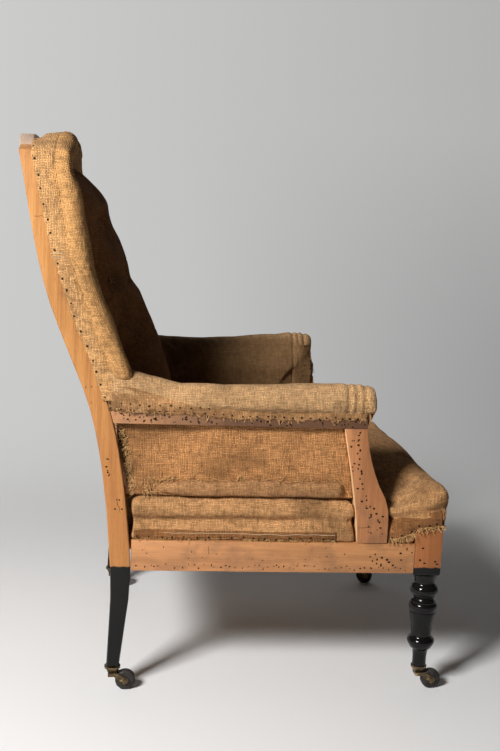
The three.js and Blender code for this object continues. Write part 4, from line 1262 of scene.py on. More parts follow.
@dataclass
class ArmPad:
    """Stuffed roll over one arm rail."""

    side: Side
    front_reach: float = 0.004
    crown: tuple[Flat, ...] = ((-0.23, 0.009), (-0.18, 0.004), (-0.11, -0.005), (0.24, -0.009))
    stuffing: Stuffing = Stuffing(voxel=0.0043, cap=0.009, shrink=-0.002)
    ridges: tuple[float, ...] = (0.190, 0.2042, 0.2187)
    fold: tuple[Flat, ...] = (
        (-0.235, 0.580), (-0.185, 0.570), (-0.12, 0.552), (-0.053, 0.538), (0.05, 0.533), (0.24, 0.533)
    )

    def build(self, finishes: Finishes) -> Object:
        """Makes the pad.

        Args:
            finishes: the chair's finishes.

        Returns:
            The finished pad.
        """
        node = f"arm_pad_{self.side.word}"
        bm = self.stuffing.fill(node, lambda co, n: n.z < -0.5 or n.y * self.side.value > 0.6 and co.z < 0.53)
        lumps(bm, 0.06, 0.0028, 2.4 + self.side.value)
        furrow(bm, self.folds)
        for v in bm.verts:
            v.co.x += self.reach(v.co.x)
            v.co.z += along(self.crown, v.co.x) * clamp((v.co.z - 0.545) / 0.05)
        return stuffed(f"arm_roll_{self.side.word}", node, bm, finishes["arm_hessian"])

    def reach(self, x: float) -> float:
        """How far a place along the arm moves as the front end is let out or taken in."""
        return self.front_reach * clamp((x - 0.12) / 0.1)

    def folds(self, co: Vector, normal: Vector) -> float:
        """Depth of the stitched ridges at the front and of the fold above the tacked border.

        Args:
            co: a point of the pad.
            normal: outwards there.

        Returns:
            The depth.
        """
        ridges = sum(ridge(co.x - x, 0.0035) for x in self.ridges) if normal.z > -0.5 else 0.0
        outside = clamp(normal.y * self.side.value * 3)
        fold = ridge(co.z - along(self.fold, co.x), 0.006)
        deep = blend(0.0022, 0.006, clamp((co.z - 0.54) / 0.02))
        return 0.0048 * ridges + deep * fold * outside


@dataclass
class Laid:
    """A strip of raw-edged cloth laid over the surfaces under it, lifted a little and smoothed in passes."""

    skin: Skin
    lift: float = 0.0013
    columns: int = 8
    passes: int = 1

    def depths(self, rows: Sequence[Row]) -> np.ndarray:
        """How high the cloth lies along each row's ray, pulled straight over hollows.

        Args:
            rows: for each row its ragged end, its whole width and its inward ray.

        Returns:
            Heights above each row's start against its ray, one row of columns each.
        """
        shares = np.linspace(0, 1, self.columns)
        high = np.full((len(rows), self.columns), np.nan)
        for i, (start, width, ray) in enumerate(rows):
            for j, t in enumerate(shares):
                met = self.skin.hit(start + width * t - ray * OUTSIDE, ray, OUTSIDE_REACH)
                if met is not None:
                    high[i, j] = (start - met[0]).dot(ray)
            known = np.flatnonzero(~np.isnan(high[i]))
            if len(known) == 0:
                high[i] = high[i - 1]
            else:
                high[i] = np.interp(np.arange(self.columns), known, high[i][known])
            taut = high[i].copy()
            for a in range(self.columns):
                for b in range(a + 2, self.columns):
                    line = np.interp(np.arange(a, b + 1), [a, b], [high[i, a], high[i, b]])
                    taut[a:b + 1] = np.maximum(taut[a:b + 1], line)
            high[i] = taut
        for _ in range(self.passes):
            padded = np.pad(high, ((1, 1), (0, 0)), mode="edge")
            high = np.maximum(high, (padded[:-2] + 2 * padded[1:-1] + padded[2:]) / 4)
        return high + self.lift * (1 - 1.7 * shares ** 3)

    def lay(self, name: str, rows: Sequence[Row], material: Material, fray: float,
            seed: int) -> Object:
        """Makes the strip.

        Args:
            name: the piece's name.
            rows: for each row its ragged end, its whole width and its inward ray.
            material: its cloth.
            fray: how far the raw edge wanders.
            seed: sets one strip's raw edge apart from another's.

        Returns:
            The finished strip.
        """
        high = self.depths(rows)
        bm = bmesh.new()
        for v, far, wide in grid(bm, len(rows) - 1, self.columns - 1):
            i = round(far * (len(rows) - 1))
            j = round(wide * (self.columns - 1))
            start, width, ray = rows[i]
            t = j / (self.columns - 1)
            wander = noise.noise(start * 95 + Vector((seed, 0, 0)))
            wander += 0.6 * noise.noise(start * 310 + Vector((0, seed, 0)))
            spot = start + width * t - width.normalized() * (fray * wander * (1 - t) ** 1.5)
            v.co = spot - ray * ((spot - start).dot(ray) + high[i, j])
        face_out(bm, -rows[len(rows) // 2][2])
        area = sum(f.calc_area() for f in bm.faces)
        obj = piece(name, bm, material)
        lay_weave(obj.data)
        thicken(obj, "cloth", CLOTH_THICKNESS, -1)
        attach(obj, "frame")
        return obj


@dataclass
class Threads:
    """Twine stitches and frayed yarns, gathered as one curve of fine tubes."""

    rng: random.Random
    lines: list[list[Vector]] = field(default_factory=list)
    fray_steps: int = 4

    def stitch(self, a: Vector, b: Vector, out: Vector, rise: float = 0.0012) -> None:
        """A short stitch from a to b that stands a little proud."""
        self.lines.append([a - out * rise, a.lerp(b, 0.3) + out * rise, a.lerp(b, 0.7) + out * rise, b - out * rise])

    def fray(self, root: Vector, way: Vector, out: Vector, length: float) -> None:
        """A loose yarn from a raw edge.

        Args:
            root: where it leaves the cloth.
            way: where it hangs.
            out: away from the surface.
            length: how long it is.
        """
        bend = Vector([self.rng.uniform(-0.6, 0.6) for _ in range(3)])
        line = [root.copy()]
        step = way.normalized()
        for _ in range(self.fray_steps):
            step = (step + bend * 0.45 + out * self.rng.uniform(-0.1, 0.25)).normalized()
            line.append(line[-1] + step * (length / self.fray_steps))
        self.lines.append(line)

    def build(self, name: str, radius: float, material: Material) -> Object:
        """Makes the curve piece.

        Args:
            name: the piece's name.
            radius: the yarn's radius.
            material: its finish.

        Returns:
            The finished piece.
        """
        curve = bpy.data.curves.new(name, "CURVE")
        curve.dimensions = "3D"
        curve.bevel_depth = radius
        curve.bevel_resolution = 0
        curve.use_fill_caps = True
        for line in self.lines:
            spline = curve.splines.new("POLY")
            spline.points.add(len(line) - 1)
            for point, spot in zip(spline.points, line):
                point.co = (*spot, 1)
        curve.materials.append(material)
        obj = bpy.data.objects.new(name, curve)
        bpy.context.scene.collection.objects.link(obj)
        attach(obj, "frame")
        return obj


@dataclass
class Dots:
    """Many small tack heads, which are domed, or old holes, which are flat, gathered as one mesh."""

    domed: bool
    bm: bmesh.types.BMesh = field(default_factory=bmesh.new)
    count: int = 0

    def add(self, spot: Vector, normal: Vector, radius: float) -> None:
        """Sets one on a surface.

        Args:
            spot: the place on the surface.
            normal: outwards there.
            radius: its size.
        """
        turn = normal.to_track_quat("Z", "Y").to_matrix().to_4x4()
        if self.domed:
            place = Matrix.Translation(spot) @ turn @ Matrix.Diagonal((1, 1, 0.5, 1))
            bmesh.ops.create_uvsphere(self.bm, u_segments=8, v_segments=5, radius=radius, matrix=place)
        else:
            uneven = 1 + 0.7 * noise.noise(spot * 900)
            place = Matrix.Translation(spot + normal * 0.00025) @ turn @ Matrix.Diagonal((uneven, 1 / uneven, 1, 1))
            bmesh.ops.create_circle(self.bm, cap_ends=True, segments=8, radius=radius, matrix=place)
        self.count += 1

    def build(self, name: str, material: Material, slot: str) -> Object:
        """Makes the piece, on the chair's frame.

        Args:
            name: the piece's name.
            material: its finish.
            slot: not used.

        Returns:
            The finished piece.
        """
        obj = piece(name, self.bm, material, smooth=self.domed)
        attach(obj, "frame")
        return obj


@dataclass
class ArmPanel:
    """Stretched hessian between one arm rail and the seat, with a folded hem and a frayed rear edge."""

    side: Side
    low: float = 0.3735
    high: float = 0.5068
    inside: float = 0.2835
    middle: float = 0.05
    ends: Flat = (-0.2, 0.19)
    rear_gap: float = 0.019
    hem_low: float = 0.3755
    hem_high: float = 0.4025
    hem_rear: float = -0.143
    hem_front: float = 0.196
    hem_proud: float = 0.0145
    grid: tuple[int, int] = (110, 40)
    hem_grid: tuple[int, int] = (90, 10)
    out_at_rear: float = 0.2683
    rear: float = -0.1876
    flare: float = 0.0375
    edge_frays: int = 6
    corner_frays: int = 60
    hem_frays: int = 110

    def reach(self, skin: Skin, z: float) -> Flat:
        """The panel's rear and front ends at a height, from the post and the arm support.

        Args:
            skin: the timber on both ends.
            z: the height.

        Returns:
            X of the rear and of the front end.
        """
        start = Vector((self.middle, self.side.value * self.inside, z))
        post, stile = skin.hit(start, -AHEAD), skin.hit(start, AHEAD)
        return (post[0].x if post else self.ends[0], stile[0].x if stile else self.ends[1])

    def surface(self, x: float, z: float) -> float:
        """Y of the slack cloth at a place.

        Args:
            x: the place.
            z: the height.

        Returns:
            Its Y.
        """
        out = self.out_at_rear + self.flare * (x - self.rear)
        slack = 0.0014 + 0.0058 * noise.noise(Vector((x * 13, z * 11, self.side.value * 3.7)))
        slack += 0.0012 * noise.noise(Vector((x * 45, z * 45, self.side.value * 1.3)))
        return self.side.value * (out + max(slack, -0.0012))

    def build(self, finishes: Finishes, skin: Skin, threads: Threads) -> Object:
        """Makes the panel, its hem and its loose yarns.

        Args:
            finishes: the chair's finishes.
            skin: the timber on both ends of the panel.
            threads: takes the loose yarns.

        Returns:
            The panel.
        """
        down = self.grid[1]
        node = f"arm_panel_{self.side.word}"
        levels = [blend(self.low, self.high, j / down) for j in range(down + 1)]
        ends = [self.reach(skin, z) for z in levels]
        bm = bmesh.new()
        for v, t, up in grid(bm, *self.grid):
            j = round(up * down)
            z = levels[j]
            torn = 0.006 * noise.noise(Vector((self.side.value, z * 55, 0)))
            torn += 0.005 * noise.noise(Vector((2, z * 230, 0)))
            rear = ends[j][0] + self.rear_gap * (1.0 - 0.5 * clamp((z - 0.48) / 0.025)) + torn
            x = blend(rear, ends[j][1] - 0.0006, t)
            curl = 0.004 * ridge(t, 0.03) * noise.noise(Vector((5, z * 40, self.side.value)))
            v.co = Vector((x, self.surface(x, z) + self.side.value * curl, z))
            if t == 0 and j > 1:
                for _ in range(self.edge_frays):
                    way = Vector((-1, 0, threads.rng.uniform(-1.5, 1.0)))
                    threads.fray(v.co.copy(), way, self.side.out, threads.rng.uniform(0.004, 0.017))
        face_out(bm, self.side.out)
        area = sum(f.calc_area() for f in bm.faces)
        obj = piece(f"arm_cloth_{self.side.word}", bm, finishes["panel_hessian"])
        lay_weave(obj.data)
        thicken(obj, "cloth", CLOTH_THICKNESS, -1)
        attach(obj, "frame")
        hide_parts(node)
        for _ in range(self.corner_frays):
            x, z = threads.rng.uniform(-0.17, -0.135), threads.rng.uniform(0.376, 0.405)
            root = Vector((x, self.surface(x, z) + self.side.value * 0.001, z))
            way = Vector((threads.rng.uniform(-1, 0.6), 0, threads.rng.uniform(-1, 0.6)))
            threads.fray(root, way, self.side.out, threads.rng.uniform(0.006, 0.018))
        hem = self.hem(finishes, threads)
        return obj

    def hem(self, finishes: Finishes, threads: Threads) -> Object:
        """The folded strip along the foot of the panel, as a flattened roll of cloth.

        Args:
            finishes: the chair's finishes.
            threads: takes the loose yarns.

        Returns:
            The finished hem.
        """
        bm = bmesh.new()
        for v, t, round_ in grid(bm, *self.hem_grid):
            turn = round_ * math.pi
            x = blend(self.hem_rear, self.hem_front, t)
            wave = 0.0050 * noise.noise(Vector((x * 24, 1.5, self.side.value)))
            wave += 0.0022 * noise.noise(Vector((x * 90, 4.5, self.side.value)))
            end = math.sqrt(clamp(t / 0.16) * clamp((1 - t) / 0.035))
            middle = blend(self.hem_low, self.hem_high, 0.4)
            half = (0.5 - 0.5 * math.cos(turn)) * (self.hem_high + wave - self.hem_low) + self.hem_low - middle
            rise = middle + half * blend(0.3, 1.0, end)
            puff = 0.8 + 0.6 * noise.noise(Vector((x * 24, 8, self.side.value)))
            proud = self.hem_proud * puff * end * math.sin(turn) ** 0.6
            v.co = Vector((x, self.surface(x, rise) + self.side.value * (proud + 0.0008), rise))
        face_out(bm, self.side.out)
        obj = piece(f"arm_hem_{self.side.word}", bm, finishes["hem_hessian"])
        lay_weave(obj.data)
        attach(obj, "frame")
        out = self.side.out
        for _ in range(self.hem_frays):
            x = threads.rng.uniform(self.hem_rear, self.hem_front)
            root = Vector((x, self.surface(x, self.hem_high) + self.side.value * 0.003, self.hem_high))
            way = Vector((threads.rng.uniform(-1, 1), 0, threads.rng.uniform(-0.4, 1)))
            threads.fray(root, way, out, threads.rng.uniform(0.006, 0.022))
        return obj


@dataclass
class Webbing:
    """Woven jute bands under the seat and across the back."""

    width: float = 0.05
    thickness: float = 0.0013
    seat_along: tuple[float, ...] = (-0.1217, 0.0, 0.1217)
    seat_across: tuple[float, ...] = (-0.0576, 0.0724, 0.205)
    seat_x: Flat = (-0.2154, 0.3772)
    seat_y: Flat = (-0.2788, 0.2788)
    seat_level: float = 0.2347
    back_levels: tuple[float, ...] = (0.457, 0.587, 0.6946, 0.8024, 0.913)
    back_places: tuple[float, ...] = (-0.1337, 0.0, 0.1337)
    back_z: Flat = (0.4167, 0.9568)
    back_y: Flat = (-0.2618, 0.2618)
    band_grid: tuple[int, int] = (64, 4)
    tack_gap: float = 0.016
    tack_radius: float = 0.0032

    def band(self, bm: bmesh.types.BMesh, ends: Flat, centre: float, crossings: Sequence[float], first: int,
             place: Callable[[float, float, float], Vector]) -> None:
        """Adds one band that goes over and under the bands it crosses.

        Args:
            bm: takes the band.
            ends: where it starts and ends along its length.
            centre: its middle across its width.
            crossings: where it meets other bands.
            first: 1 to go over the first, -1 to go under it.
            place: gives the point for a length, a breadth and a rise.
        """
        for v, far, wide in grid(bm, *self.band_grid):
            s = blend(*ends, far)
            w = centre + (wide - 0.5) * self.width + 0.0012 * noise.noise(Vector((s * 9, centre * 50, 2)))
            rise = sum(first * (-1) ** k * self.thickness * 0.72 * ridge(s - c, 0.034) for k, c in enumerate(crossings))
            v.co = place(s, w, rise)

    def build(self, finishes: Finishes, post: Skin, tacks: Dots) -> list[Object]:
        """Weaves the seat's and the back's bands.

        Args:
            finishes: the chair's finishes.
            post: the rear posts, whose front the back's bands follow.
            tacks: takes the tacks at the ends of the bands.

        Returns:
            The two pieces.
        """
        levels = np.linspace(0.40, 0.97, 58)
        fronts = [post.hit(Vector((0.3, -0.264, z)), -AHEAD)[0].x for z in levels]

        def front(z: float) -> float:
            """X of the front of the posts at a height."""
            return float(np.interp(z, levels, fronts)) + 0.0019

        def under(s: float, w: float, rise: float) -> Vector:
            """A point of a band that runs from front to rear."""
            return Vector((s, w, self.seat_level - rise))

        def behind(s: float, w: float, rise: float) -> Vector:
            """A point of a band that runs up the back."""
            return Vector((front(s) + rise, w, s))

        seat = bmesh.new()
        for k, y in enumerate(self.seat_along):
            self.band(seat, self.seat_x, y, self.seat_across, (-1) ** k, under)
        for k, x in enumerate(self.seat_across):
            self.band(seat, self.seat_y, x, self.seat_along, -((-1) ** k), lambda s, w, r: under(w, s, r))
        back = bmesh.new()
        for k, y in enumerate(self.back_places):
            self.band(back, self.back_z, y, self.back_levels, (-1) ** k, behind)
        for k, z in enumerate(self.back_levels):
            self.band(back, self.back_y, z, self.back_places, -((-1) ** k), lambda s, w, r: behind(w, s, r))
        made = []
        for name, bm in (("seat_webbing", seat), ("back_webbing", back)):
            obj = piece(f"{name}_bands", bm, finishes["webbing"])
            lay_weave(obj.data)
            thicken(obj, "jute", self.thickness, 0)
            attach(obj, "frame")
            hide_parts(name)
            made.append(obj)
        level, down = self.seat_level - 0.001, Vector((0, 0, -1))
        shifts = (-self.tack_gap, 0.0, self.tack_gap)
        for y, shift, x in product(self.seat_along, shifts, (self.seat_x[0] + 0.01, self.seat_x[1] - 0.008)):
            tacks.add(Vector((x, y + shift, level)), down, self.tack_radius)
        for x, shift, y in product(self.seat_across, shifts, (self.seat_y[0] + 0.008, self.seat_y[1] - 0.008)):
            tacks.add(Vector((x + shift, y, level)), down, self.tack_radius)
        return made


@dataclass(frozen=True)
class Trim:
    """A row of tacks and loose yarns on a strip, over all its rows or only the first of them."""

    spacing: float
    inset: float
    frays: int
    longest: float
    radius: float
    rows: int | None = None


@dataclass(frozen=True)
class Strip:
    """A raw-edged strip: its cloth, how ragged it is, its trimmings and, along a side, its two lines of heights."""

    name: str
    cloth: str
    ragged: float
    rests_on: tuple[str, ...]
    seed: int
    trims: tuple[Trim, ...]
    places: tuple[float, float, float] = (0.0, 0.0, 1.0)
    low: tuple[Flat, ...] = ()
    high: tuple[Flat, ...] = ()


@dataclass
class Borders:
    """Raw-edged borders of the covers where they are tacked to the timber."""

    skin: Skin
    finishes: Finishes
    tacks: Dots
    threads: Threads
    arm_skins: dict[Side, Skin]
    back_foot: float = 0.548
    back_inset: float = 0.0045
    beside_y: float = 0.3
    tack_line: tuple[Flat, ...] = (
        (0.54, -0.236), (0.562, -0.2426), (0.616, -0.2615), (0.682, -0.2890), (0.757, -0.3150), (0.816, -0.3330),
        (0.882, -0.3480), (0.907, -0.3536), (0.948, -0.3621), (0.974, -0.3676),
    )
    support_front: tuple[Flat, ...] = ((0.40, 0.2475), (0.43, 0.2395), (0.46, 0.2345), (0.50, 0.2305), (0.6, 0.2295))
    facing_top: dict[Side, float] = field(default_factory=lambda: {Side.RIGHT: 0.566, Side.LEFT: 0.582})
    arm_strip: Strip = Strip(
        "arm_border", "worn_hessian", 0.0045, ("arm_rail",), 11,
        (Trim(0.015, 0.006, 70, 0.011, 0.002), Trim(0.016, 0.016, 8, 0.02, 0.0021, rows=60)), (-0.2335, 0.2345, 0.0032),
        ((-0.235, 0.530), (-0.12, 0.527), (0.0, 0.521), (0.1, 0.519), (0.24, 0.522)),
        ((-0.235, 0.582), (-0.185, 0.573), (-0.12, 0.555), (-0.053, 0.541), (0.05, 0.536), (0.24, 0.537)),
    )
    seat_strip: Strip = Strip(
        "seat_border", "corner_hessian", 0.003, ("side_seat_rail",), 41,
        (Trim(0.019, 0.005, 190, 0.013, 0.0021),), (-0.1835, 0.1865, 0.003), ((0.0, 0.2945),), ((0.0, 0.3145),),
    )
    corner_strip: Strip = Strip(
        "seat_corner", "corner_hessian", 0.007, ("side_seat_rail", "front_leg"), 51,
        (Trim(0.016, 0.007, 150, 0.016, 0.0022),), (0.283, 0.3835, 0.0028),
        ((0.281, 0.296), (0.30, 0.299), (0.325, 0.311), (0.336, 0.321), (0.384, 0.3245)),
        ((0.281, 0.338), (0.318, 0.342), (0.355, 0.349), (0.386, 0.360)),
    )

    def tacked(self, z: float) -> float:
        """X of the row of tacks down the posts at a height."""
        return along(self.tack_line, z)

    def sew(self, laid: Laid, strip: Strip, rows: Sequence[Row], side: Side | None = None) -> Object:
        """Lays one strip and trims its raw edge.

        Args:
            laid: how it is laid.
            strip: its name, cloth and trimmings.
            rows: for each row its ragged end, its whole width and its inward ray.
            side: which side, for a strip that each side has.

        Returns:
            The strip.
        """
        tail, seed = ("", strip.seed) if side is None else (f"_{side.word}", strip.seed + side.value)
        rests_on = [f"{node}{tail}" for node in strip.rests_on]
        obj = laid.lay(f"{strip.name}{tail}", rows, self.finishes[strip.cloth], strip.ragged, seed)
        for trim in strip.trims:
            self.trim(obj, rows[:trim.rows], trim)
        return obj

    def trim(self, strip: Object, rows: Sequence[Row], trim: Trim) -> None:
        """Sets tacks and loose yarns along a strip's raw edge.

        Args:
            strip: the strip.
            rows: the rows that it was laid on.
            trim: the tacks and yarns.
        """
        cloth = Skin([strip])
        rng = self.threads.rng
        walked = trim.spacing * 0.6
        for a, b in zip(rows, rows[1:]):
            walked += (b[0] - a[0]).length
            if walked < trim.spacing:
                continue
            walked = rng.uniform(-0.2, 0.2) * trim.spacing
            spot = a[0] + a[1].normalized() * (trim.inset + rng.uniform(-0.0015, 0.0015))
            met = cloth.hit(spot - a[2] * OUTSIDE, a[2])
            if met is not None:
                self.tacks.add(met[0], -a[2], trim.radius * rng.uniform(0.8, 1.12))
        for _ in range(trim.frays):
            start, width, ray = rng.choice(rows)
            met = cloth.hit(start + width * 0.12 - ray * OUTSIDE, ray)
            if met is not None:
                way = -width.normalized() + Vector([rng.uniform(-0.8, 0.8) for _ in range(3)])
                self.threads.fray(met[0], way, -ray, rng.uniform(0.3, 1.0) * trim.longest)

    def back(self, lean: Callable[[float], float]) -> Object:
        """The border round the sides and top of the back.

        Args:
            lean: X of the front of the posts at a height.

        Returns:
            The strip.
        """
        sides = []
        for side in Side:
            inward = -side.out
            part = []
            for z in np.arange(self.back_foot, 0.949, 0.0032):
                start = Vector((self.tacked(z) - self.back_inset, side.value * 0.285, z))
                part.append((start, Vector((lean(z) + 0.027 - start.x, 0, 0)), inward))
            for k in range(1, 10):
                turn = math.radians(9 * k)
                ray = Vector((0, -side.value * math.cos(turn), -math.sin(turn)))
                centre = Vector((self.tacked(0.95 + 0.024 * k / 10) - self.back_inset, side.value * 0.258, 0.95))
                part.append((centre - ray * 0.027, Vector((0.036 + 0.009 * k / 10, 0, 0)), ray))
            sides.append(part)
        rows = list(sides[0])
        for y in np.arange(-0.252, 0.2521, 0.004):
            crest = 0.973 + 0.036 * (1 - (y / 0.285) ** 2)
            start = Vector((self.tacked(0.974) - self.back_inset, y, crest))
            rows.append((start, Vector((0.045, 0, 0)), Vector((0, 0, -1))))
        rows += sides[1][::-1]
        posts = ("rear_post_right", "rear_post_left", "top_rail")
        plan = Strip("back_border", "flange_hessian", 0.0022, posts, 3, (Trim(0.024, 0.0045, 70, 0.008, 0.0023),))
        return self.sew(Laid(self.skin), plan, rows)

    def beside(self, plan: Strip, side: Side, columns: int = 8) -> Object:
        """A border along one side of the chair, between two lines of heights.

        Args:
            plan: the strip, with its places along X and its two lines.
            side: which side.
            columns: how many points the strip has over its width.

        Returns:
            The strip.
        """
        rows = []
        for x in np.arange(*plan.places):
            low = along(plan.low, x)
            start = Vector((x, side.value * self.beside_y, low))
            rows.append((start, Vector((0, 0, along(plan.high, x) - low)), -side.out))
        return self.sew(Laid(self.skin, columns=columns), plan, rows, side)

    def arm_end(self, side: Side) -> Object:
        """The border round the front end of one arm.

        Args:
            side: which side.

        Returns:
            The strip.
        """
        rows = []
        for y in np.arange(0.298, 0.2449, -0.0032):
            start = Vector((0.24, side.value * y, 0.5125))
            rows.append((start, Vector((0, 0, 0.045)), -AHEAD))
        plan = Strip("arm_end", "arm_hessian", 0.003, ("arm_rail",), 21, (Trim(0.012, 0.005, 14, 0.012, 0.0021),))
        return self.sew(Laid(self.skin), plan, rows, side)

    def arm_facing(self, side: Side) -> Object:
        """The cloth from the inside of one arm to the front of its support.

        Args:
            side: which side.

        Returns:
            The strip.
        """
        rows = []
        outward = side.out
        for z in np.arange(0.404, self.facing_top[side], 0.004):
            start = Vector((along(self.support_front, z) - 0.003, side.value * 0.25, z))
            rows.append((start, Vector((-0.048, 0, 0)), outward))
        trims = (Trim(0.014, 0.005, 10, 0.01, 0.0021), Trim(0.018, 0.02, 0, 0.01, 0.0017))
        plan = Strip("arm_facing", "arm_hessian", 0.002, ("arm_support",), 31, trims)
        return self.sew(Laid(self.arm_skins[side], passes=40), plan, rows, side)

    def along_side(self, side: Side) -> list[Object]:
        """All the borders of one side.

        Args:
            side: which side.

        Returns:
            The strips.
        """
        return [
            self.beside(self.arm_strip, side), self.arm_end(side), self.arm_facing(side),
            self.beside(self.seat_strip, side, 6), self.beside(self.corner_strip, side),
        ]

    def seat_front(self) -> Object:
        """The ragged border along the front of the seat.

        Returns:
            The strip.
        """
        rows = []
        for y in np.arange(-0.301, 0.3011, 0.0032):
            over = clamp((abs(y) - 0.246) / 0.012)
            low = blend(0.284, 0.322, over * over * (3 - 2 * over))
            rows.append((Vector((0.39, y, low)), Vector((0, 0, 0.03)), -AHEAD))
        trims = (Trim(0.022, 0.007, 120, 0.014, 0.0022),)
        plan = Strip("seat_front_border", "corner_hessian", 0.006, ("front_seat_rail",), 61, trims)
        return self.sew(Laid(self.skin), plan, rows)


@dataclass(frozen=True)
class Patch:
    """Where some old holes lie on a side of the chair, how many they are and how large."""

    count: int
    x: Flat
    z: Flat
    radius: Flat


@dataclass
class OldMarks:
    """Old tack holes, joints and cracks in the timber."""

    skin: Skin
    holes: Dots
    cracks: Threads
    support_line: tuple[Flat, ...] = ((0.34, 0.262), (0.38, 0.2345), (0.42, 0.2215), (0.46, 0.2165), (0.5, 0.2145))
    leg_holes: tuple[Flat, ...] = ((0.343, 0.262), (0.352, 0.256), (0.372, 0.259), (0.376, 0.254), (0.347, 0.285))
    rail_patches: tuple[Patch, ...] = (
        Patch(16, (-0.17, 0.24), (0.252, 0.284), (0.0007, 0.0013)),
        Patch(15, (0.235, 0.328), (0.245, 0.285), (0.0014, 0.0026)),
    )
    high_patches: tuple[Patch, ...] = (
        Patch(10, (0.24, 0.278), (0.297, 0.352), (0.001, 0.0024)),
        Patch(90, (-0.21, 0.225), (0.51, 0.526), (0.0009, 0.0022)),
        Patch(9, (-0.285, -0.262), (0.53, 0.575), (0.0008, 0.0019)),
        Patch(9, (-0.236, -0.228), (0.405, 0.448), (0.0008, 0.0019)),
        Patch(4, (-0.22, -0.205), (0.345, 0.37), (0.0008, 0.0019)),
    )
    joints: tuple[tuple[tuple[Flat, Flat], float], ...] = (
        (((0.2085, 0.3215), (0.247, 0.3235)), 0.0004), (((0.207, 0.2935), (0.278, 0.2935)), 0.0003),
        (((0.206, 0.360), (0.222, 0.3605)), 0.0004), (((-0.377, 0.8625), (-0.346, 0.8645)), 0.0005),
        (((-0.0485, 0.283), (-0.0475, 0.268)), 0.0004), (((-0.216, 0.37), (-0.209, 0.345)), 0.0012),
    )

    def mark(self, side: Side, x: float, z: float, radius: float) -> None:
        """Sets a hole on one side of the chair.

        Args:
            side: which side.
            x: the place.
            z: the height.
            radius: its size.
        """
        met = self.skin.beside(x, z, side)
        if met is not None:
            self.holes.add(*met, radius)

    def scatter(self, side: Side, patches: Sequence[Patch]) -> None:
        """Strews holes over some patches of one side.

        Args:
            side: which side.
            patches: where, how many and how large.
        """
        uniform = self.cracks.rng.uniform
        for patch in patches:
            for _ in range(patch.count):
                self.mark(side, uniform(*patch.x), uniform(*patch.z), uniform(*patch.radius))

    def line(self, side: Side, points: Sequence[Flat], wander: float) -> None:
        """Draws a joint or crack over a side of the chair.

        Args:
            side: which side.
            points: its places and heights.
            wander: how far it strays.
        """
        rng = self.cracks.rng
        path = []
        for (x0, z0), (x1, z1) in zip(points, points[1:]):
            for t in np.linspace(0, 1, 6):
                x = blend(x0, x1, t) + rng.uniform(-wander, wander)
                met = self.skin.beside(x, blend(z0, z1, t) + rng.uniform(-wander, wander), side)
                if met is not None:
                    path.append(met[0])
        if len(path) > 1:
            self.cracks.lines.append(path)

    def build(self, side: Side) -> None:
        """Marks one side of the chair.

        Args:
            side: which side.
        """
        rng = self.cracks.rng
        x = -0.178
        while x < 0.325:
            self.mark(side, x, rng.uniform(0.2415, 0.2495), rng.uniform(0.0009, 0.0017))
            x += rng.uniform(0.004, 0.016)
        self.scatter(side, self.rail_patches)
        for x, z in self.leg_holes:
            self.mark(side, x, z, 0.0022)
        z = 0.338
        while z < 0.503:
            for back in (0.0, 0.011):
                place = along(self.support_line, z) - back + rng.uniform(-0.003, 0.003)
                if back == 0.0 or rng.random() < 0.45:
                    self.mark(side, place, z + rng.uniform(-0.003, 0.003), rng.uniform(0.0012, 0.0024))
            z += rng.uniform(0.005, 0.011)
        self.scatter(side, self.high_patches)
        for points, wander in self.joints:
            self.line(side, points, wander)


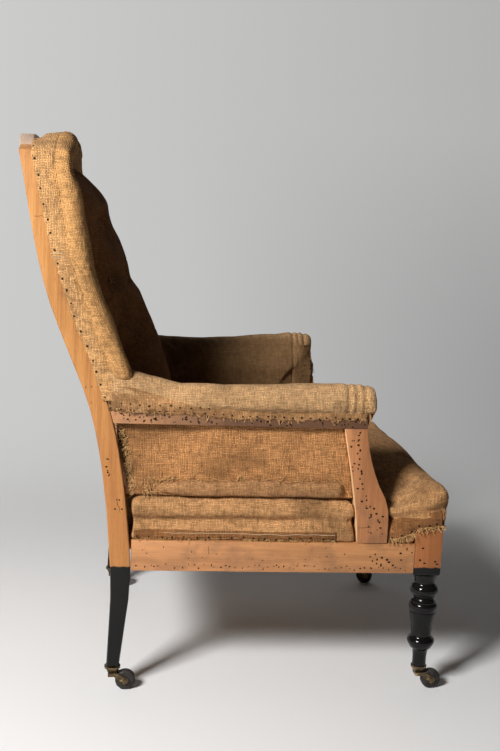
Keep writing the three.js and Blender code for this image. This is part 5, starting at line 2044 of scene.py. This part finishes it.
@dataclass
class HandStitching:
    """Twine in the edge roll, the arm ends, the seat's border and the tufts."""

    skin: Skin
    threads: Threads
    pale: Threads
    roll_line: float = 0.026
    knot: float = 0.008
    knot_stitches: int = 5
    tuft_fray: float = 0.009
    slack: tuple[tuple[Flat, Flat, float], ...] = (
        ((-0.235, 0.574), (-0.205, 0.549), 0.04), ((-0.232, 0.565), (-0.165, 0.535), 0.075)
    )
    tufts: tuple[Flat, ...] = (
        (-0.154, 0.745), (-0.0514, 0.745), (0.0514, 0.745), (0.154, 0.745),
        (-0.1027, 0.846), (0.0, 0.846), (0.1027, 0.846),
    )

    def run(self, threads: Threads, side: Side, points: Sequence[Flat], step: float, length: float) -> None:
        """A row of running stitches on one side of the chair.

        Args:
            threads: takes the stitches.
            side: which side.
            points: places and heights of the row.
            step: between stitches.
            length: of a stitch.
        """
        out = side.out
        for (x0, z0), (x1, z1) in zip(points, points[1:]):
            span = math.hypot(x1 - x0, z1 - z0)
            for s in np.arange(0, span, step):
                spots = []
                for t in (s / span, min(1.0, (s + length * threads.rng.uniform(0.7, 1.1)) / span)):
                    met = self.skin.beside(blend(x0, x1, t), blend(z0, z1, t), side)
                    if met is not None:
                        spots.append(met[0])
                if len(spots) == 2:
                    threads.stitch(*spots, out)

    def build(self, arm: ArmPad, lean: Callable[[float], float]) -> None:
        """Stitches one side of the chair.

        Args:
            arm: the side's arm.
            lean: X of the front of the posts at a height.
        """
        side = arm.side
        levels = np.linspace(0.615, 0.945, 24)
        self.run(self.threads, side, [(lean(z) + self.roll_line, z) for z in levels], 0.0135, 0.007)
        for x in (x + arm.reach(x) for x in arm.ridges):
            self.run(self.threads, side, [(x, 0.534), (x + 0.001, 0.56), (x, 0.588)], 0.0065, 0.0045)
        path = []
        for x in np.arange(-0.13, 0.186, 0.008):
            met = self.skin.beside(x, 0.3065 + 0.0016 * noise.noise(Vector((x * 40, 0, side.value))), side)
            if met is not None:
                path.append(met[0] + met[1] * 0.0008)
        if len(path) > 1:
            self.pale.lines.append(path)
        for z in (0.797, 0.803):
            self.run(self.pale, side, [(lean(z) - 0.006, z - 0.002), (lean(z) + self.roll_line + 0.002, z)], 0.1, 0.032)
        for start, end, length in self.slack:
            self.run(self.pale, side, [start, end], 0.1, length)

    def tie(self) -> None:
        """Ties each tuft of the back with a knot of twine."""
        for y, z in self.tufts:
            met = self.skin.hit(Vector((0.3, y, z)), -AHEAD)
            if met is None:
                continue
            spot = met[0]
            for k in range(self.knot_stitches):
                turn = 2 * math.pi * k / self.knot_stitches + y * 9
                across = Vector((0, math.cos(turn), math.sin(turn))) * self.knot
                self.threads.stitch(spot - across, spot + across, AHEAD, 0.001)
            for _ in range(3):
                way = Vector((1, self.threads.rng.uniform(-1, 1), self.threads.rng.uniform(-1, 1)))
                self.threads.fray(spot, way, AHEAD, self.tuft_fray)


def main() -> None:
    """Builds the chair piece by piece."""
    logging.basicConfig(level=logging.INFO, format="%(message)s")
    SideCamera().build()
    finishes = Finishes()
    finishes.build()
    Studio().build()
    timber = TimberFrame()
    timber.build(finishes)
    for side in Side:
        timber.made[f"front_leg_{side.word}"] = FrontLeg(side).build(finishes)
    LOG.info("timber frame: %d pieces", len(timber.made))
    casters = Casters()
    casters.build(finishes)
    LOG.info("casters: %d", len(casters.places))
    Springs().dress(finishes)
    LOG.info("springs")
    roll_plan = BackRoll()
    roll = roll_plan.build(finishes)
    LOG.info("%s", roll.name)
    back = BackPad().build(finishes)
    LOG.info("%s", back.name)
    seat = SeatPad().build(finishes)
    LOG.info("%s", seat.name)
    arm_plans = (ArmPad(Side.RIGHT), ArmPad(Side.LEFT, -0.011, ((-0.23, 0.007), (0.24, 0.007))))
    arms = [plan.build(finishes) for plan in arm_plans]
    LOG.info("arm rolls: %d", len(arms))
    wood = Skin(list(timber.made.values()))
    tacks, holes = Dots(domed=True), Dots(domed=False)
    twine, pale, yarns, cracks = (Threads(random.Random(seed)) for seed in (5, 9, 13, 17))
    for side in Side:
        panel = ArmPanel(side).build(finishes, wood, yarns)
        LOG.info("%s", panel.name)
    posts = Skin([timber.made["rear_post_right"]])
    for web in Webbing().build(finishes, posts, tacks):
        LOG.info("%s", web.name)
    covered = Skin([*timber.made.values(), roll, back, seat, *arms])
    arm_skins = {side: Skin([arm, timber.made[f"arm_support_{side.word}"]]) for side, arm in zip(Side, arms)}
    borders = Borders(covered, finishes, tacks, yarns, arm_skins)
    strips = [borders.back(roll_plan.lean), borders.seat_front()]
    for side in Side:
        strips += borders.along_side(side)
    LOG.info("borders: %d", len(strips))
    marks = OldMarks(wood, holes, cracks)
    dressed = Skin([*timber.made.values(), roll, back, seat, *arms, *strips])
    stitching = HandStitching(dressed, twine, pale)
    for plan in arm_plans:
        marks.build(plan.side)
        stitching.build(plan, roll_plan.lean)
    stitching.tie()
    LOG.info("tacks: %d, old holes: %d", tacks.count, holes.count)
    tacks.build("tacks", finishes["tack_iron"], "spring_steel")
    holes.build("old_holes", finishes["old_hole"], "beech")
    twine.build("stitching", 0.0006, finishes["twine"])
    pale.build("loose_twine", 0.00048, finishes["pale_thread"])
    yarns.build("frayed_yarns", 0.0005, finishes["twine"])
    cracks.build("joint_lines", 0.00035, finishes["old_hole"])


if __name__ == "__main__":
    main()
